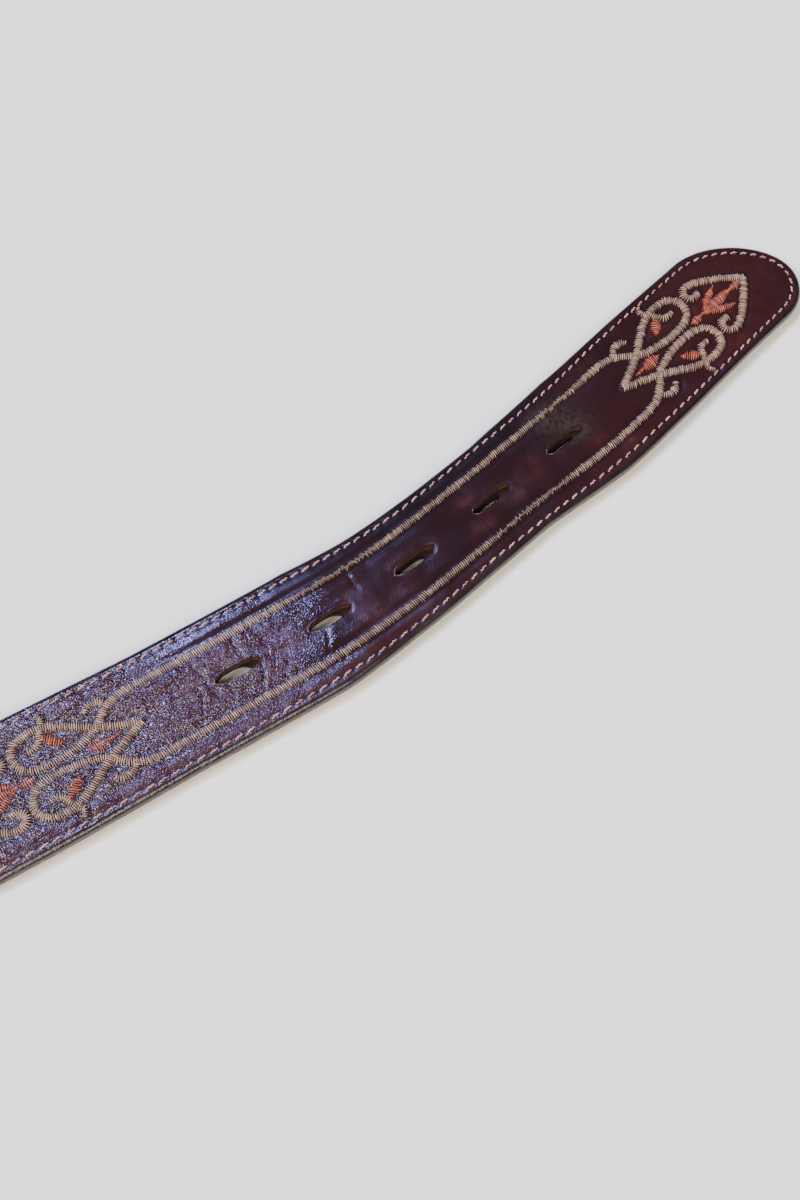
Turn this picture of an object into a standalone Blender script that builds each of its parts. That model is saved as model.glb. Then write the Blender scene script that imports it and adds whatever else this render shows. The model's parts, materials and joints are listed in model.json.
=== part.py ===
"""A dress belt of two leathers with an embroidered face, laid out flat with the face up.

The strap runs along +X from the buckle bar to the tip, and turns a little to the left
over its last 200 mm. Its face leather, filler and lining are cut into eight lengths that meet at
seven hinge lines, so that the belt can bend. Everything is in metres, +Z up.
"""
import math

import bmesh
import bpy
import numpy as np
from mathutils import Matrix, Vector

MM = 0.001

# Strap
STRAP_LENGTH = 1039 * MM         # bar axis to the end of the tip, along the strap
STRAP_WIDTH = 35 * MM
WIDTH_KNOTS = (                  # distance from the tip, share of the full width
    (0, 0.90), (25 * MM, 0.90), (48 * MM, 0.925), (74 * MM, 0.925), (100 * MM, 0.82), (120 * MM, 0.83),
    (142 * MM, 0.87), (160 * MM, 0.95), (200 * MM, 0.945), (232 * MM, 0.985), (260 * MM, 1.0),
)
TURN_KNOTS = (                   # distance from the tip, degrees turned to the left
    (30 * MM, 15.2), (50 * MM, 16.0), (64 * MM, 16.0), (76 * MM, 12.0), (90 * MM, 10.8),
    (102 * MM, 12.8), (128 * MM, 11.0), (148 * MM, 6.0), (168 * MM, 1.5), (240 * MM, 0.0),
)
NOSE_OFFSET = -4.5 * MM          # the tip ends a little to the right of the middle
LEFT_ROUNDING = (20 * MM, 1.75)  # how far back the tip's left side curves, and its power
RIGHT_ROUNDING = (10 * MM, 2.0)
OUTLINE_STEP = 12 * MM           # between outline points on the straight sides
ROUNDING_POINTS = 9              # on each side of the tip

# Layers, from below
CLEARANCE = 0.3 * MM
LINING = (0, 1.2 * MM)
FILLER = (1.5 * MM, 2.1 * MM)
FACE = (2.4 * MM, 4.0 * MM)
EMBROIDERY = (FACE[1] + CLEARANCE, FACE[1] + 0.7 * MM)
FILLER_INSET = 2 * MM
BEND_HEIGHT = FACE[1] / 2        # the strap bends about the middle of its thickness
BEND_LIMIT = math.radians(40)
HINGE_GAP = 0.2 * MM             # left at a hinge line, besides the room that bending takes

# Adjusting slots
SLOT_COUNT = 5
SLOT_SPACING = 25 * MM
FIRST_SLOT = 81 * MM             # from the tip
SLOT_LENGTH = 12 * MM
SLOT_WIDTH = 3.1 * MM

# Embroidered panels: a motif, two border lines, and the motif again, turned round
PANEL_COUNT = 4
PANEL_START = 11 * MM            # first ogive's point, from the tip
PANEL_LENGTH = 242 * MM
PANEL_PITCH = 252 * MM
SATIN_WIDTH = 2.0 * MM
NARROWING = 0.1 * MM             # the scrolls' outward strokes are this much narrower
STROKE_STEP = 0.03 * MM          # each stroke of an embroidered shape is this much thinner, above and below
LINE_OFFSET = 9.4 * MM
MOTIF_LENGTH = 47.5 * MM         # point of the V to point of the ogive

# Buckle
BAR_HEIGHT = 4.2 * MM
BAR_RADIUS = 1.25 * MM
BAR_HALF_LENGTH = 23 * MM
LIMB_RADIUS = 2.4 * MM
LIMB_OFFSET = 20.5 * MM
FRAME_REACH = 34 * MM            # bar axis to the middle of the front limb
FRAME_CORNER = 7 * MM
LUG_RADIUS = 3.7 * MM
LUG_LENGTH = 5 * MM
PRONG_RADIUS = 1.2 * MM
PRONG_OVERHANG = 1 * MM          # the point's reach beyond the front limb
PRONG_SLOT = 6 * MM              # width of the fold's opening
BORE_LENGTH = 3 * LIMB_OFFSET    # longer than anything it cuts
FOLD_LEATHER = 1.5 * MM
FOLD_HALF_WIDTH = 15 * MM
FOLD_NECK = 8.5 * MM             # where the fold comes down to the strap's thickness
FOLD_END = 13.2 * MM
FOLD_TAIL_END = 35 * MM
KEEPER_START = 17 * MM
KEEPER_LENGTH = 10 * MM
KEEPER_LEATHER = 1.5 * MM
KEEPER_ROOM = 5.5 * MM           # height inside the keeper, above the face
KEEPER_CORNER = 2 * MM

STRAP_START = FOLD_END + CLEARANCE
STEP = 1 * MM                    # step of the plan curve's table

# Materials: colour, roughness, metallic
FACE_LEATHER = ("burgundy_leather", (0.045, 0.014, 0.016), 0.28, 0.0)
LINING_LEATHER = ("russet_leather", (0.16, 0.055, 0.035), 0.6, 0.0)
FILLER_BOARD = ("filler_leather", (0.30, 0.18, 0.11), 0.8, 0.0)
TAN_THREAD = ("tan_thread", (0.44, 0.31, 0.20), 0.55, 0.0)
ORANGE_THREAD = ("orange_thread", (0.52, 0.12, 0.05), 0.55, 0.0)
BRASS = ("aged_brass", (0.55, 0.36, 0.14), 0.3, 1.0)
STEEL = ("plated_steel", (0.50, 0.42, 0.28), 0.35, 1.0)

# Upper half of the scroll, in motif coordinates: along the belt from the point of the V, and off its middle.
SCROLL_IN = (
    (0.0, 9.4), (3.0, 8.9), (6.0, 7.5), (8.6, 5.3), (10.6, 3.6), (13.5, 2.5),
    (17.5, 1.7), (22.0, 1.35), (25.6, 1.7), (28.2, 2.9), (29.6, 5.2), (29.7, 7.2),
)
SCROLL_OUT = (
    (29.6, 5.2), (29.7, 7.2), (28.0, 9.8), (24.8, 10.7), (21.2, 10.5),
    (18.0, 9.3), (14.5, 7.2), (10.0, 4.4), (5.5, 2.2), (0.0, 0.0), (-0.8, -0.35),
)
OGIVE = (
    (48.2, -0.6), (47.5, 0.0), (44.7, 2.8), (41.5, 5.4), (38.3, 7.7), (35.2, 9.1),
    (32.8, 8.7), (32.0, 6.8), (33.2, 5.2), (35.0, 5.0),
)
PETALS = (                       # base, tip, half width
    ((31.5, 0.0), (42.5, 0.0), 1.5),
    ((32.0, 0.6), (39.5, 3.9), 0.9),
    ((32.0, -0.6), (39.5, -3.9), 0.9),
    ((26.9, 0.0), (30.5, 0.0), 1.1),
    ((29.0, 0.0), (33.0, 0.0), 0.35),
)


# ---------------------------------------------------------------- plan of the strap

def turn_table():
    """The middle line of the strap in plan: its direction, and its points, at every step from the bar."""
    along = np.arange(0, STRAP_LENGTH + STEP / 2, STEP)
    distances, degrees = zip(*TURN_KNOTS)
    turn = np.radians(np.interp(STRAP_LENGTH - along, distances, degrees))
    middle = (turn[1:] + turn[:-1]) / 2
    x = np.concatenate(([0], np.cumsum(np.cos(middle)))) * STEP
    y = np.concatenate(([0], np.cumsum(np.sin(middle)))) * STEP
    return along, turn, x, y


ALONG, TURN, PLAN_X, PLAN_Y = turn_table()


def direction(s):
    return float(np.interp(s, ALONG, TURN))


def place(s, v):
    """The plan point at distance s from the bar along the strap, and v to the left of its middle."""
    turn = direction(s)
    x = float(np.interp(s, ALONG, PLAN_X)) - v * math.sin(turn)
    y = float(np.interp(s, ALONG, PLAN_Y)) + v * math.cos(turn)
    return x, y


def full_width(s):
    distances, shares = zip(*WIDTH_KNOTS)
    return STRAP_WIDTH * float(np.interp(STRAP_LENGTH - s, distances, shares))


def edge(s, side, inset):
    """How far the strap's left (+1) or right (-1) edge lies from its middle."""
    reach, power = LEFT_ROUNDING if side > 0 else RIGHT_ROUNDING
    from_end = STRAP_LENGTH - inset - s
    straight = side * (full_width(s) / 2 - inset)
    if from_end >= reach:
        return straight
    share = min(1, 1 - from_end / reach)
    return NOSE_OFFSET + (straight - NOSE_OFFSET) * (1 - share ** power) ** (1 / power)


def side_stations(start, end, side, inset):
    """Stations along one edge: evenly spaced on the straight, close together round the tip."""
    reach = (LEFT_ROUNDING if side > 0 else RIGHT_ROUNDING)[0]
    at_tip = end >= STRAP_LENGTH
    straight_end = STRAP_LENGTH - inset - reach if at_tip else end
    count = max(2, round((straight_end - start) / OUTLINE_STEP) + 1)
    stations = list(np.linspace(start, straight_end, count))
    if at_tip:
        angles = np.linspace(0, math.pi / 2, ROUNDING_POINTS)[1:]
        stations += [straight_end + reach * math.sin(angle) for angle in angles]
    return stations


def strap_outline(start, end, inset):
    left = [place(s, edge(s, 1, inset)) for s in side_stations(start, end, 1, inset)]
    right = [place(s, edge(s, -1, inset)) for s in side_stations(start, end, -1, inset)]
    if end >= STRAP_LENGTH:
        right.pop()              # both sides end at the same point of the tip
    return right + left[::-1]


def slot_outline(s):
    """An oblong with round ends, about the middle of the strap."""
    radius = SLOT_WIDTH / 2
    half = SLOT_LENGTH / 2 - radius
    ring = []
    for end in (1, -1):
        for angle in np.linspace(-math.pi / 2, math.pi / 2, 7):
            ring.append(place(s + end * (half + radius * math.cos(angle)), end * radius * math.sin(angle)))
    return ring


# ---------------------------------------------------------------- modelling tools

def clear_scene():
    for item in list(bpy.data.objects):
        bpy.data.objects.remove(item)


def make_collection(name):
    collection = bpy.data.collections.new(name)
    bpy.context.scene.collection.children.link(collection)
    return collection


def make_material(recipe):
    name, colour, roughness, metallic = recipe
    material = bpy.data.materials.get(name) or bpy.data.materials.new(name)
    material.use_nodes = True
    shader = material.node_tree.nodes["Principled BSDF"]
    shader.inputs["Base Color"].default_value = (*colour, 1)
    shader.inputs["Roughness"].default_value = roughness
    shader.inputs["Metallic"].default_value = metallic
    return material


def add_part(name, data, recipe, parent):
    data.materials.append(make_material(recipe))
    part = bpy.data.objects.new(name, data)
    PARTS.objects.link(part)
    part.parent = parent
    part.matrix_parent_inverse = Matrix.Translation(-PIVOTS[parent.name])
    return part


def make_pivot(name, point, parent):
    """An empty on a joint's axis. Its parts and further pivots hang from it."""
    pivot = bpy.data.objects.new(name, None)
    pivot.empty_display_size = 10 * MM
    PARTS.objects.link(pivot)
    PIVOTS[name] = Vector(point)
    pivot.location = point
    if parent:
        pivot.parent = parent
        pivot.matrix_parent_inverse = Matrix.Translation(-PIVOTS[parent.name])
    return pivot


def flat_shape(name, rings, levels):
    """A flat outline between two levels. The first ring is its edge and any others are holes in it."""
    curve = bpy.data.curves.new(name, "CURVE")
    curve.dimensions = "2D"
    curve.fill_mode = "BOTH"
    curve.extrude = (levels[1] - levels[0]) / 2
    for ring in rings:
        spline = curve.splines.new("POLY")
        spline.points.add(len(ring) - 1)
        for point, (x, y) in zip(spline.points, ring):
            point.co = (x, y, 0, 1)
        spline.use_cyclic_u = True
    return curve


def tube(name, points, radius):
    """A round rod along a line of points, with flat ends."""
    curve = bpy.data.curves.new(name, "CURVE")
    curve.dimensions = "3D"
    curve.bevel_depth = radius
    curve.bevel_resolution = 2
    curve.use_fill_caps = True
    spline = curve.splines.new("POLY")
    spline.points.add(len(points) - 1)
    for point, place_at in zip(spline.points, points):
        point.co = (*place_at, 1)
    return curve


def mesh_from(curve, matrix=Matrix.Identity(4)):
    """A curve's shape as a closed mesh with its caps welded."""
    holder = bpy.data.objects.new(curve.name, curve)
    bpy.context.scene.collection.objects.link(holder)
    bpy.context.view_layer.update()
    evaluated = holder.evaluated_get(bpy.context.evaluated_depsgraph_get())
    mesh = bpy.data.meshes.new_from_object(evaluated)
    bpy.data.objects.remove(holder)
    shape = bmesh.new()
    shape.from_mesh(mesh)
    bmesh.ops.remove_doubles(shape, verts=shape.verts, dist=0.001 * MM)
    bmesh.ops.transform(shape, matrix=matrix, verts=shape.verts)
    bmesh.ops.recalc_face_normals(shape, faces=shape.faces)
    shape.to_mesh(mesh)
    shape.free()
    return mesh


def cylinder_mesh(name, centre, radius, length, sides=24):
    """A cylinder along Y."""
    shape = bmesh.new()
    turn = Matrix.Rotation(math.pi / 2, 4, "X")
    bmesh.ops.create_cone(
        shape, cap_ends=True, segments=sides, radius1=radius, radius2=radius, depth=length,
        matrix=Matrix.Translation(centre) @ turn,
    )
    mesh = bpy.data.meshes.new(name)
    shape.to_mesh(mesh)
    shape.free()
    return mesh


def box_mesh(name, low, high):
    shape = bmesh.new()
    middle = (Vector(low) + Vector(high)) / 2
    size = Vector(high) - Vector(low)
    bmesh.ops.create_cube(shape, size=1, matrix=Matrix.Translation(middle) @ Matrix.Diagonal((*size, 1)))
    mesh = bpy.data.meshes.new(name)
    shape.to_mesh(mesh)
    shape.free()
    return mesh


def combine(part, meshes, operation):
    """Join meshes to a part, or cut them out of it."""
    for number, mesh in enumerate(meshes):
        tool = bpy.data.objects.new(f"{part.name}_tool_{number}", mesh)
        CUTTERS.objects.link(tool)
        tool.hide_render = True
        tool.display_type = "WIRE"
        tool.parent = part.parent
        tool.matrix_parent_inverse = part.matrix_parent_inverse
        modifier = part.modifiers.new(tool.name, "BOOLEAN")
        modifier.operation = operation
        modifier.object = tool


def smooth(part, angle=40):
    part.data.shade_smooth()
    part.data.set_sharp_from_angle(angle=math.radians(angle))


# ---------------------------------------------------------------- strap

def hinge_stations():
    """Hinge lines as distances from the bar: between the second and third slot, then every half panel."""
    from_tip = [FIRST_SLOT + 1.5 * SLOT_SPACING]
    half_panel = PANEL_PITCH / 2
    gap_middle = PANEL_START + PANEL_PITCH - (PANEL_PITCH - PANEL_LENGTH) / 2
    from_tip += [gap_middle + half_panel * count for count in range(2 * PANEL_COUNT - 2)]
    return [STRAP_LENGTH - distance for distance in from_tip]


def end_setback(levels):
    """How far a layer stops short of a hinge line, so that its ends clear each other at full bend."""
    height = max(abs(level - BEND_HEIGHT) for level in levels)
    return HINGE_GAP + height * math.tan(BEND_LIMIT / 2)


def strap_layer(name, start, end, levels, inset, slots, recipe, body):
    setback = end_setback(levels)
    low = start if start <= FOLD_TAIL_END + CLEARANCE else start + setback
    high = end if end >= STRAP_LENGTH else end - setback
    rings = [strap_outline(low, high, inset)] + [slot_outline(s) for s in slots]
    mesh = mesh_from(flat_shape(name, rings, levels), Matrix.Translation((0, 0, sum(levels) / 2)))
    add_part(name, mesh, recipe, body)


def strap_length(number, start, end, body):
    """One length of the strap: lining, filler and face, with the slots that fall on it."""
    slots = [STRAP_LENGTH - FIRST_SLOT - SLOT_SPACING * count for count in range(SLOT_COUNT)]
    slots = [s for s in slots if start < s < end]
    filler_start = max(start, FOLD_TAIL_END + CLEARANCE)
    strap_layer(f"lining_{number}", start, end, LINING, 0, slots, LINING_LEATHER, body)
    strap_layer(f"filler_{number}", filler_start, end, FILLER, FILLER_INSET, slots, FILLER_BOARD, body)
    strap_layer(f"face_{number}", start, end, FACE, 0, slots, FACE_LEATHER, body)


# ---------------------------------------------------------------- embroidery

def spline_points(points, per_span=2):
    """Points on a smooth curve through the given ones (Catmull-Rom)."""
    given = [Vector(point) for point in points]
    padded = [2 * given[0] - given[1]] + given + [2 * given[-1] - given[-2]]
    curve = []
    for a, b, c, d in zip(padded, padded[1:], padded[2:], padded[3:]):
        for t in np.arange(per_span) / per_span:
            curve.append(
                b + (c - a) * (t / 2) + (2 * a - 5 * b + 4 * c - d) * (t * t / 2)
                + (3 * b - a - 3 * c + d) * (t ** 3 / 2)
            )
    return curve + [given[-1]]


def ribbon(points, width):
    """The outline of a flat ribbon along a line of points."""
    left, right = [], []
    for number, point in enumerate(points):
        before = points[max(0, number - 1)]
        after = points[min(len(points) - 1, number + 1)]
        along = (after - before).normalized()
        across = Vector((-along.y, along.x)) * (width / 2)
        left.append(point + across)
        right.append(point - across)
    return left + right[::-1]


def leaf(base, tip, half_width):
    """A pointed oval between two points."""
    base, tip = Vector(base), Vector(tip)
    along = tip - base
    across = Vector((-along.y, along.x)).normalized() * half_width
    angles = np.linspace(0, 2 * math.pi, 12, endpoint=False)
    return [base + along * (0.5 - 0.5 * math.cos(a)) + across * math.sin(a) for a in angles]


def motif_mapper(point_of_v, towards_tip):
    """Turns motif coordinates, in mm, into plan points. The motif narrows a little where the strap does."""
    def to_plan(point):
        u, v = point[0] * MM, point[1] * MM
        s = point_of_v + (u if towards_tip else -u)
        share = 0.35 + 0.65 * full_width(s) / STRAP_WIDTH
        return place(s, v * share)
    return to_plan


def stitched_shape(name, outlines, to_plan, recipe, body):
    """Flat embroidery made of overlapping strokes, joined into one body.

    Each stroke is a little thinner than the one before, so that no two faces lie in one plane.
    """
    rise = Matrix.Translation((0, 0, sum(EMBROIDERY) / 2))
    meshes = []
    for number, outline in enumerate(outlines):
        ring = [to_plan(point) for point in outline]
        thinner = number * STROKE_STEP
        levels = (EMBROIDERY[0] + thinner, EMBROIDERY[1] - thinner)
        meshes.append(mesh_from(flat_shape(f"{name}_{number}", [ring], levels), rise))
    part = add_part(name, meshes[0], recipe, body)
    combine(part, meshes[1:], "UNION")


def mirrored(points):
    return [Vector((point[0], -point[1])) for point in points]


def motif(number, point_of_v, towards_tip, line_end, body):
    """The scrolls, ogive and petals at one end of a panel, with the border lines as far as line_end."""
    to_plan = motif_mapper(point_of_v, towards_tip)
    reach = abs(point_of_v - line_end) / MM
    shares = (1, 0.8, 0.6, 0.4, 0.2) if direction(line_end) > 0 else (1,)
    line = [(-reach * share, LINE_OFFSET / MM) for share in shares]
    path_in = [Vector(point) for point in line] + spline_points(SCROLL_IN)
    path_out = spline_points(SCROLL_OUT)
    arch = spline_points(OGIVE)
    width, narrow = SATIN_WIDTH / MM, (SATIN_WIDTH - NARROWING) / MM
    inward = [ribbon(path, width) for path in (path_in, mirrored(path_in))]
    outward = [ribbon(path, narrow) for path in (path_out, mirrored(path_out))]
    ogive = [ribbon(path, width) for path in (arch, mirrored(arch))]
    stitched_shape(f"scroll_{number}", [inward[0], *outward, inward[1]], to_plan, TAN_THREAD, body)
    stitched_shape(f"ogive_{number}", ogive, to_plan, TAN_THREAD, body)
    stitched_shape(f"petals_{number}", [leaf(*petal) for petal in PETALS], to_plan, ORANGE_THREAD, body)


# ---------------------------------------------------------------- buckle end

def buckle_frame(body):
    """A round-section C of brass with a lug at each end for the bar."""
    quarter = np.linspace(0, math.pi / 2, 6)
    centre = (-FRAME_REACH + FRAME_CORNER, LIMB_OFFSET - FRAME_CORNER)
    half = [(0, LIMB_OFFSET)]
    for angle in quarter:
        x = centre[0] - FRAME_CORNER * math.sin(angle)
        y = centre[1] + FRAME_CORNER * math.cos(angle)
        half.append((x, y))
    outline = half + [(x, -y) for x, y in reversed(half)]
    limbs = tube("limbs", [(x, y, BAR_HEIGHT) for x, y in outline], LIMB_RADIUS)
    frame = add_part("buckle_frame", mesh_from(limbs), BRASS, body)
    lugs = [
        cylinder_mesh("lug", (0, side * LIMB_OFFSET, BAR_HEIGHT), LUG_RADIUS, LUG_LENGTH)
        for side in (1, -1)
    ]
    bore = cylinder_mesh("bore", (0, 0, BAR_HEIGHT), BAR_RADIUS + CLEARANCE, BORE_LENGTH)
    combine(frame, lugs, "UNION")
    combine(frame, [bore], "DIFFERENCE")
    smooth(frame)


def buckle_bar(body):
    mesh = cylinder_mesh("buckle_bar", (0, 0, BAR_HEIGHT), BAR_RADIUS, 2 * BAR_HALF_LENGTH, sides=16)
    smooth(add_part("buckle_bar", mesh, STEEL, body))


def prong(body):
    """A rod hooked round the bar, whose point rests over the front limb."""
    hook = BAR_RADIUS + CLEARANCE + PRONG_RADIUS
    rest = BAR_HEIGHT + LIMB_RADIUS + CLEARANCE + PRONG_RADIUS
    angles = np.radians(np.linspace(-150, 90, 13))
    path = [(hook * math.cos(a), 0, BAR_HEIGHT + hook * math.sin(a)) for a in angles]
    path += [(-FRAME_REACH / 2, 0, (path[-1][2] + rest) / 2), (-FRAME_REACH, 0, rest)]
    path += [(-FRAME_REACH - LIMB_RADIUS - PRONG_OVERHANG, 0, rest)]
    smooth(add_part("prong", mesh_from(tube("prong", path, PRONG_RADIUS)), STEEL, body))


def fold_profile():
    """The fold seen from the side: round the bar, then down to the strap, with a skived tail between layers."""
    outer = BAR_RADIUS + CLEARANCE + FOLD_LEATHER
    angles = np.radians(np.linspace(75, 285, 12))
    round_bar = [(outer * math.cos(a), BAR_HEIGHT + outer * math.sin(a)) for a in angles]
    neck_height = (FACE[1] + BAR_HEIGHT + BAR_RADIUS) / 2
    strap_side = [
        (FOLD_NECK, LINING[0]), (FOLD_END, LINING[0]), (FOLD_END, FILLER[0]), (FOLD_TAIL_END, FILLER[0]),
        (FOLD_TAIL_END, FILLER[1]), (FOLD_END, FILLER[1]), (FOLD_END, FACE[1]), (FOLD_NECK, neck_height),
    ]
    return round_bar + strap_side


def buckle_fold(body):
    """The leather that wraps the bar, open in the middle where the prong turns."""
    upright = Matrix.Rotation(math.pi / 2, 4, "X")
    levels = (-FOLD_HALF_WIDTH, FOLD_HALF_WIDTH)
    mesh = mesh_from(flat_shape("buckle_fold", [fold_profile()], levels), upright)
    fold = add_part("buckle_fold", mesh, FACE_LEATHER, body)
    bore = cylinder_mesh("fold_bore", (0, 0, BAR_HEIGHT), BAR_RADIUS + CLEARANCE, BORE_LENGTH)
    half, above = PRONG_SLOT / 2, 3 * BAR_HEIGHT
    prong_slot = box_mesh("prong_slot", (-FOLD_NECK, -half, -above), (FOLD_NECK - 0.5 * MM, half, above))
    combine(fold, [bore, prong_slot], "DIFFERENCE")


def keeper_profile():
    """Half of the keeper seen along the strap: a skived end under the face, a leg, and the top."""
    inside = STRAP_WIDTH / 2 + CLEARANCE
    outside = inside + KEEPER_LEATHER
    ceiling = FACE[1] + KEEPER_ROOM
    top = ceiling + KEEPER_LEATHER
    tuck = STRAP_WIDTH / 2 - FILLER_INSET + CLEARANCE
    arc = [
        (outside - KEEPER_CORNER * (1 - math.cos(a)), top - KEEPER_CORNER * (1 - math.sin(a)))
        for a in np.linspace(0, math.pi / 2, 5)
    ]
    bevel = KEEPER_CORNER / 4
    outer = [(tuck, FILLER[0]), (outside, FILLER[0])] + arc
    inner = [(inside - bevel, ceiling), (inside, ceiling - bevel), (inside, FILLER[1]), (tuck, FILLER[1])]
    return outer, inner


def keeper(body):
    """A leather loop over the strap, its ends sewn in between face and lining."""
    outer, inner = keeper_profile()
    ring = outer + [(-y, z) for y, z in reversed(outer)]
    ring += [(-y, z) for y, z in reversed(inner)] + inner
    upright = Matrix(((0, 0, 1, 0), (1, 0, 0, 0), (0, 1, 0, 0), (0, 0, 0, 1)))
    levels = (0, KEEPER_LENGTH)
    shift = Matrix.Translation((KEEPER_START + KEEPER_LENGTH / 2, 0, 0))
    add_part("keeper", mesh_from(flat_shape("keeper", [ring], levels), shift @ upright), FACE_LEATHER, body)


# ---------------------------------------------------------------- the belt

def build_strap():
    """Eight lengths from the tip to the buckle, each with one motif. Returns the last one's pivot."""
    hinges = hinge_stations()
    edges = [STRAP_LENGTH] + hinges + [STRAP_START]
    body = make_pivot("tip_body", (0, 0, 0), None)
    for number, (end, start) in enumerate(zip(edges, edges[1:]), start=1):
        if number > 1:
            body = make_pivot(f"strap_pivot_{number - 1}", (*place(end, 0), BEND_HEIGHT), body)
        strap_length(number, start, end, body)
        panel, half = divmod(number - 1, 2)
        ogive_point = PANEL_START + panel * PANEL_PITCH + half * PANEL_LENGTH
        towards_tip = half == 0
        v_point = STRAP_LENGTH - ogive_point - (MOTIF_LENGTH if towards_tip else -MOTIF_LENGTH)
        setback = end_setback(EMBROIDERY)
        line_end = start + setback if towards_tip else end - setback
        motif(number, v_point, towards_tip, line_end, body)
    return body


def build_buckle(strap_end):
    buckle_fold(strap_end)
    keeper(strap_end)
    bar_axis = (0, 0, BAR_HEIGHT)
    buckle = make_pivot("buckle_pivot", bar_axis, strap_end)
    buckle_frame(buckle)
    buckle_bar(buckle)
    prong(make_pivot("prong_pivot", bar_axis, buckle))


def centre_on_footprint():
    """Move the belt so that the frame's origin is the bottom centre of its box."""
    bpy.context.view_layer.update()
    depsgraph = bpy.context.evaluated_depsgraph_get()
    corners = [
        part.matrix_world @ Vector(corner)
        for part in PARTS.objects if part.type == "MESH"
        for corner in part.evaluated_get(depsgraph).bound_box
    ]
    low = [min(corner[axis] for corner in corners) for axis in range(3)]
    high = [max(corner[axis] for corner in corners) for axis in range(3)]
    bpy.data.objects["tip_body"].location = (-(low[0] + high[0]) / 2, -(low[1] + high[1]) / 2, -low[2])


clear_scene()
PARTS = make_collection("belt")
CUTTERS = make_collection("cutters")
PIVOTS = {}
build_buckle(build_strap())
centre_on_footprint()
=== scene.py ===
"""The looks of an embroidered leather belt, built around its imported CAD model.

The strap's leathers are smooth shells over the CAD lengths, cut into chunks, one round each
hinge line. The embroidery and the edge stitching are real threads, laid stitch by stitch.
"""
import json
import math

import bmesh
import bpy
import numpy as np
from mathutils import Matrix, Vector
from mathutils.kdtree import KDTree


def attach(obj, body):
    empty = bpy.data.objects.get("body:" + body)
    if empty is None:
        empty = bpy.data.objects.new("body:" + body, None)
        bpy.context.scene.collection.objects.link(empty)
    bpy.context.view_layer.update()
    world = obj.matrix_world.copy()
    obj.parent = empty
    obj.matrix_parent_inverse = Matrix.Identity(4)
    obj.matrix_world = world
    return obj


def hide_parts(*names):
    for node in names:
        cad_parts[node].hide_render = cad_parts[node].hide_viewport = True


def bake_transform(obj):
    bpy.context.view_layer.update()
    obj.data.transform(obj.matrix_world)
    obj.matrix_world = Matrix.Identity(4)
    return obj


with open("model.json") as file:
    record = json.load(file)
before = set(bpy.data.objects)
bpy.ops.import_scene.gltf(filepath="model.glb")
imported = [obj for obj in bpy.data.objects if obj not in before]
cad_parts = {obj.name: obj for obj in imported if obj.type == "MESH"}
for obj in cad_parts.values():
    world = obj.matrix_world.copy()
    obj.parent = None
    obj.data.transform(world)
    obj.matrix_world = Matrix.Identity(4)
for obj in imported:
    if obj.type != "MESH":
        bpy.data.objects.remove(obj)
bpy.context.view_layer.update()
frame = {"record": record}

MM = 0.001
JOINTS = {joint["name"]: joint for joint in frame["record"]["behaviour"]["joints"]}

# The strap in plan, as in the CAD: stations run from the buckle bar to the tip
BAR = Vector(JOINTS["buckle_swing"]["pos_m"])
STRAP_LENGTH = 1039 * MM
STRAP_START = 13.5 * MM
STRAP_WIDTH = 35 * MM
WIDTH_KNOTS = (                  # distance from the tip, share of the full width
    (0, 0.90), (25 * MM, 0.90), (48 * MM, 0.925), (74 * MM, 0.925), (100 * MM, 0.82), (120 * MM, 0.83),
    (142 * MM, 0.87), (160 * MM, 0.95), (200 * MM, 0.945), (232 * MM, 0.985), (260 * MM, 1.0),
)
TURN_KNOTS = (                   # distance from the tip, degrees that the strap is turned to the left
    (30 * MM, 15.2), (50 * MM, 16.0), (64 * MM, 16.0), (76 * MM, 12.0), (90 * MM, 10.8),
    (102 * MM, 12.8), (128 * MM, 11.0), (148 * MM, 6.0), (168 * MM, 1.5), (240 * MM, 0.0),
)
NOSE_OFFSET = -4.5 * MM          # the tip's foremost point lies right of the middle line
LEFT_ROUNDING = (20 * MM, 1.75)  # how far back the corner's curve starts, and its power
RIGHT_ROUNDING = (10 * MM, 2.0)
SLOTS = [81 * MM + 25 * MM * count for count in range(5)]   # from the tip
SLOT_HALF_LENGTH = 6 * MM
SLOT_HALF_WIDTH = 1.45 * MM

# How far each layer's slits stand open, as shares of a slot's width, from the tip on
FACE_SLITS = (1, 1, 1, 1, 1)
FILLER_SLITS = (1.3, 1.3, 1.3, 1.3, 1.4)        # wide, so that the filler stays out of sight
LINING_SLITS = (0.30, 0.35, 0.60, 1.20, 1.30)
LINING_SLIT_SHIFT = 1.4 * MM     # the lining's slits stop short of the slots' ends on the tip's side

HALF_BEND = 32 * MM              # bend_over_hinge finds a point this far each side of a hinge line, but nothing is bent

# Heights, and the edges' profiles as (outward, height) from the top down
FACE_TOP = 4.0 * MM
SEAM_HEIGHT = 1.55 * MM          # where face and lining meet at the edge
FACE_EDGE = np.array((
    (0.5, 3.88), (0.95, 3.68), (1.3, 3.35), (1.5, 2.9), (1.55, 2.4), (1.48, 1.95), (1.3, 1.66), (1.0, 1.55),
)) * MM
FILLER_EDGE = np.array(((0.3, 2.1), (0.35, 1.9), (0.3, 1.7))) * MM
LINING_EDGE = np.array(((0.35, 1.42), (0.6, 1.2), (0.68, 0.8), (0.6, 0.35), (0.35, 0.08))) * MM
STITCH_INSET = 2.3 * MM

# Camera: close above the tip end, looking steeply down
CAMERA_PITCH = math.radians(68)
CAMERA_DISTANCE = 330 * MM
CAMERA_LENS = 41.1               # focal length in mm, for a long side of 36 mm
STRAP_BEARING = math.radians(29.5)
CAMERA_AIM = (900.5 * MM, -1.2 * MM)            # from the bar

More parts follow.
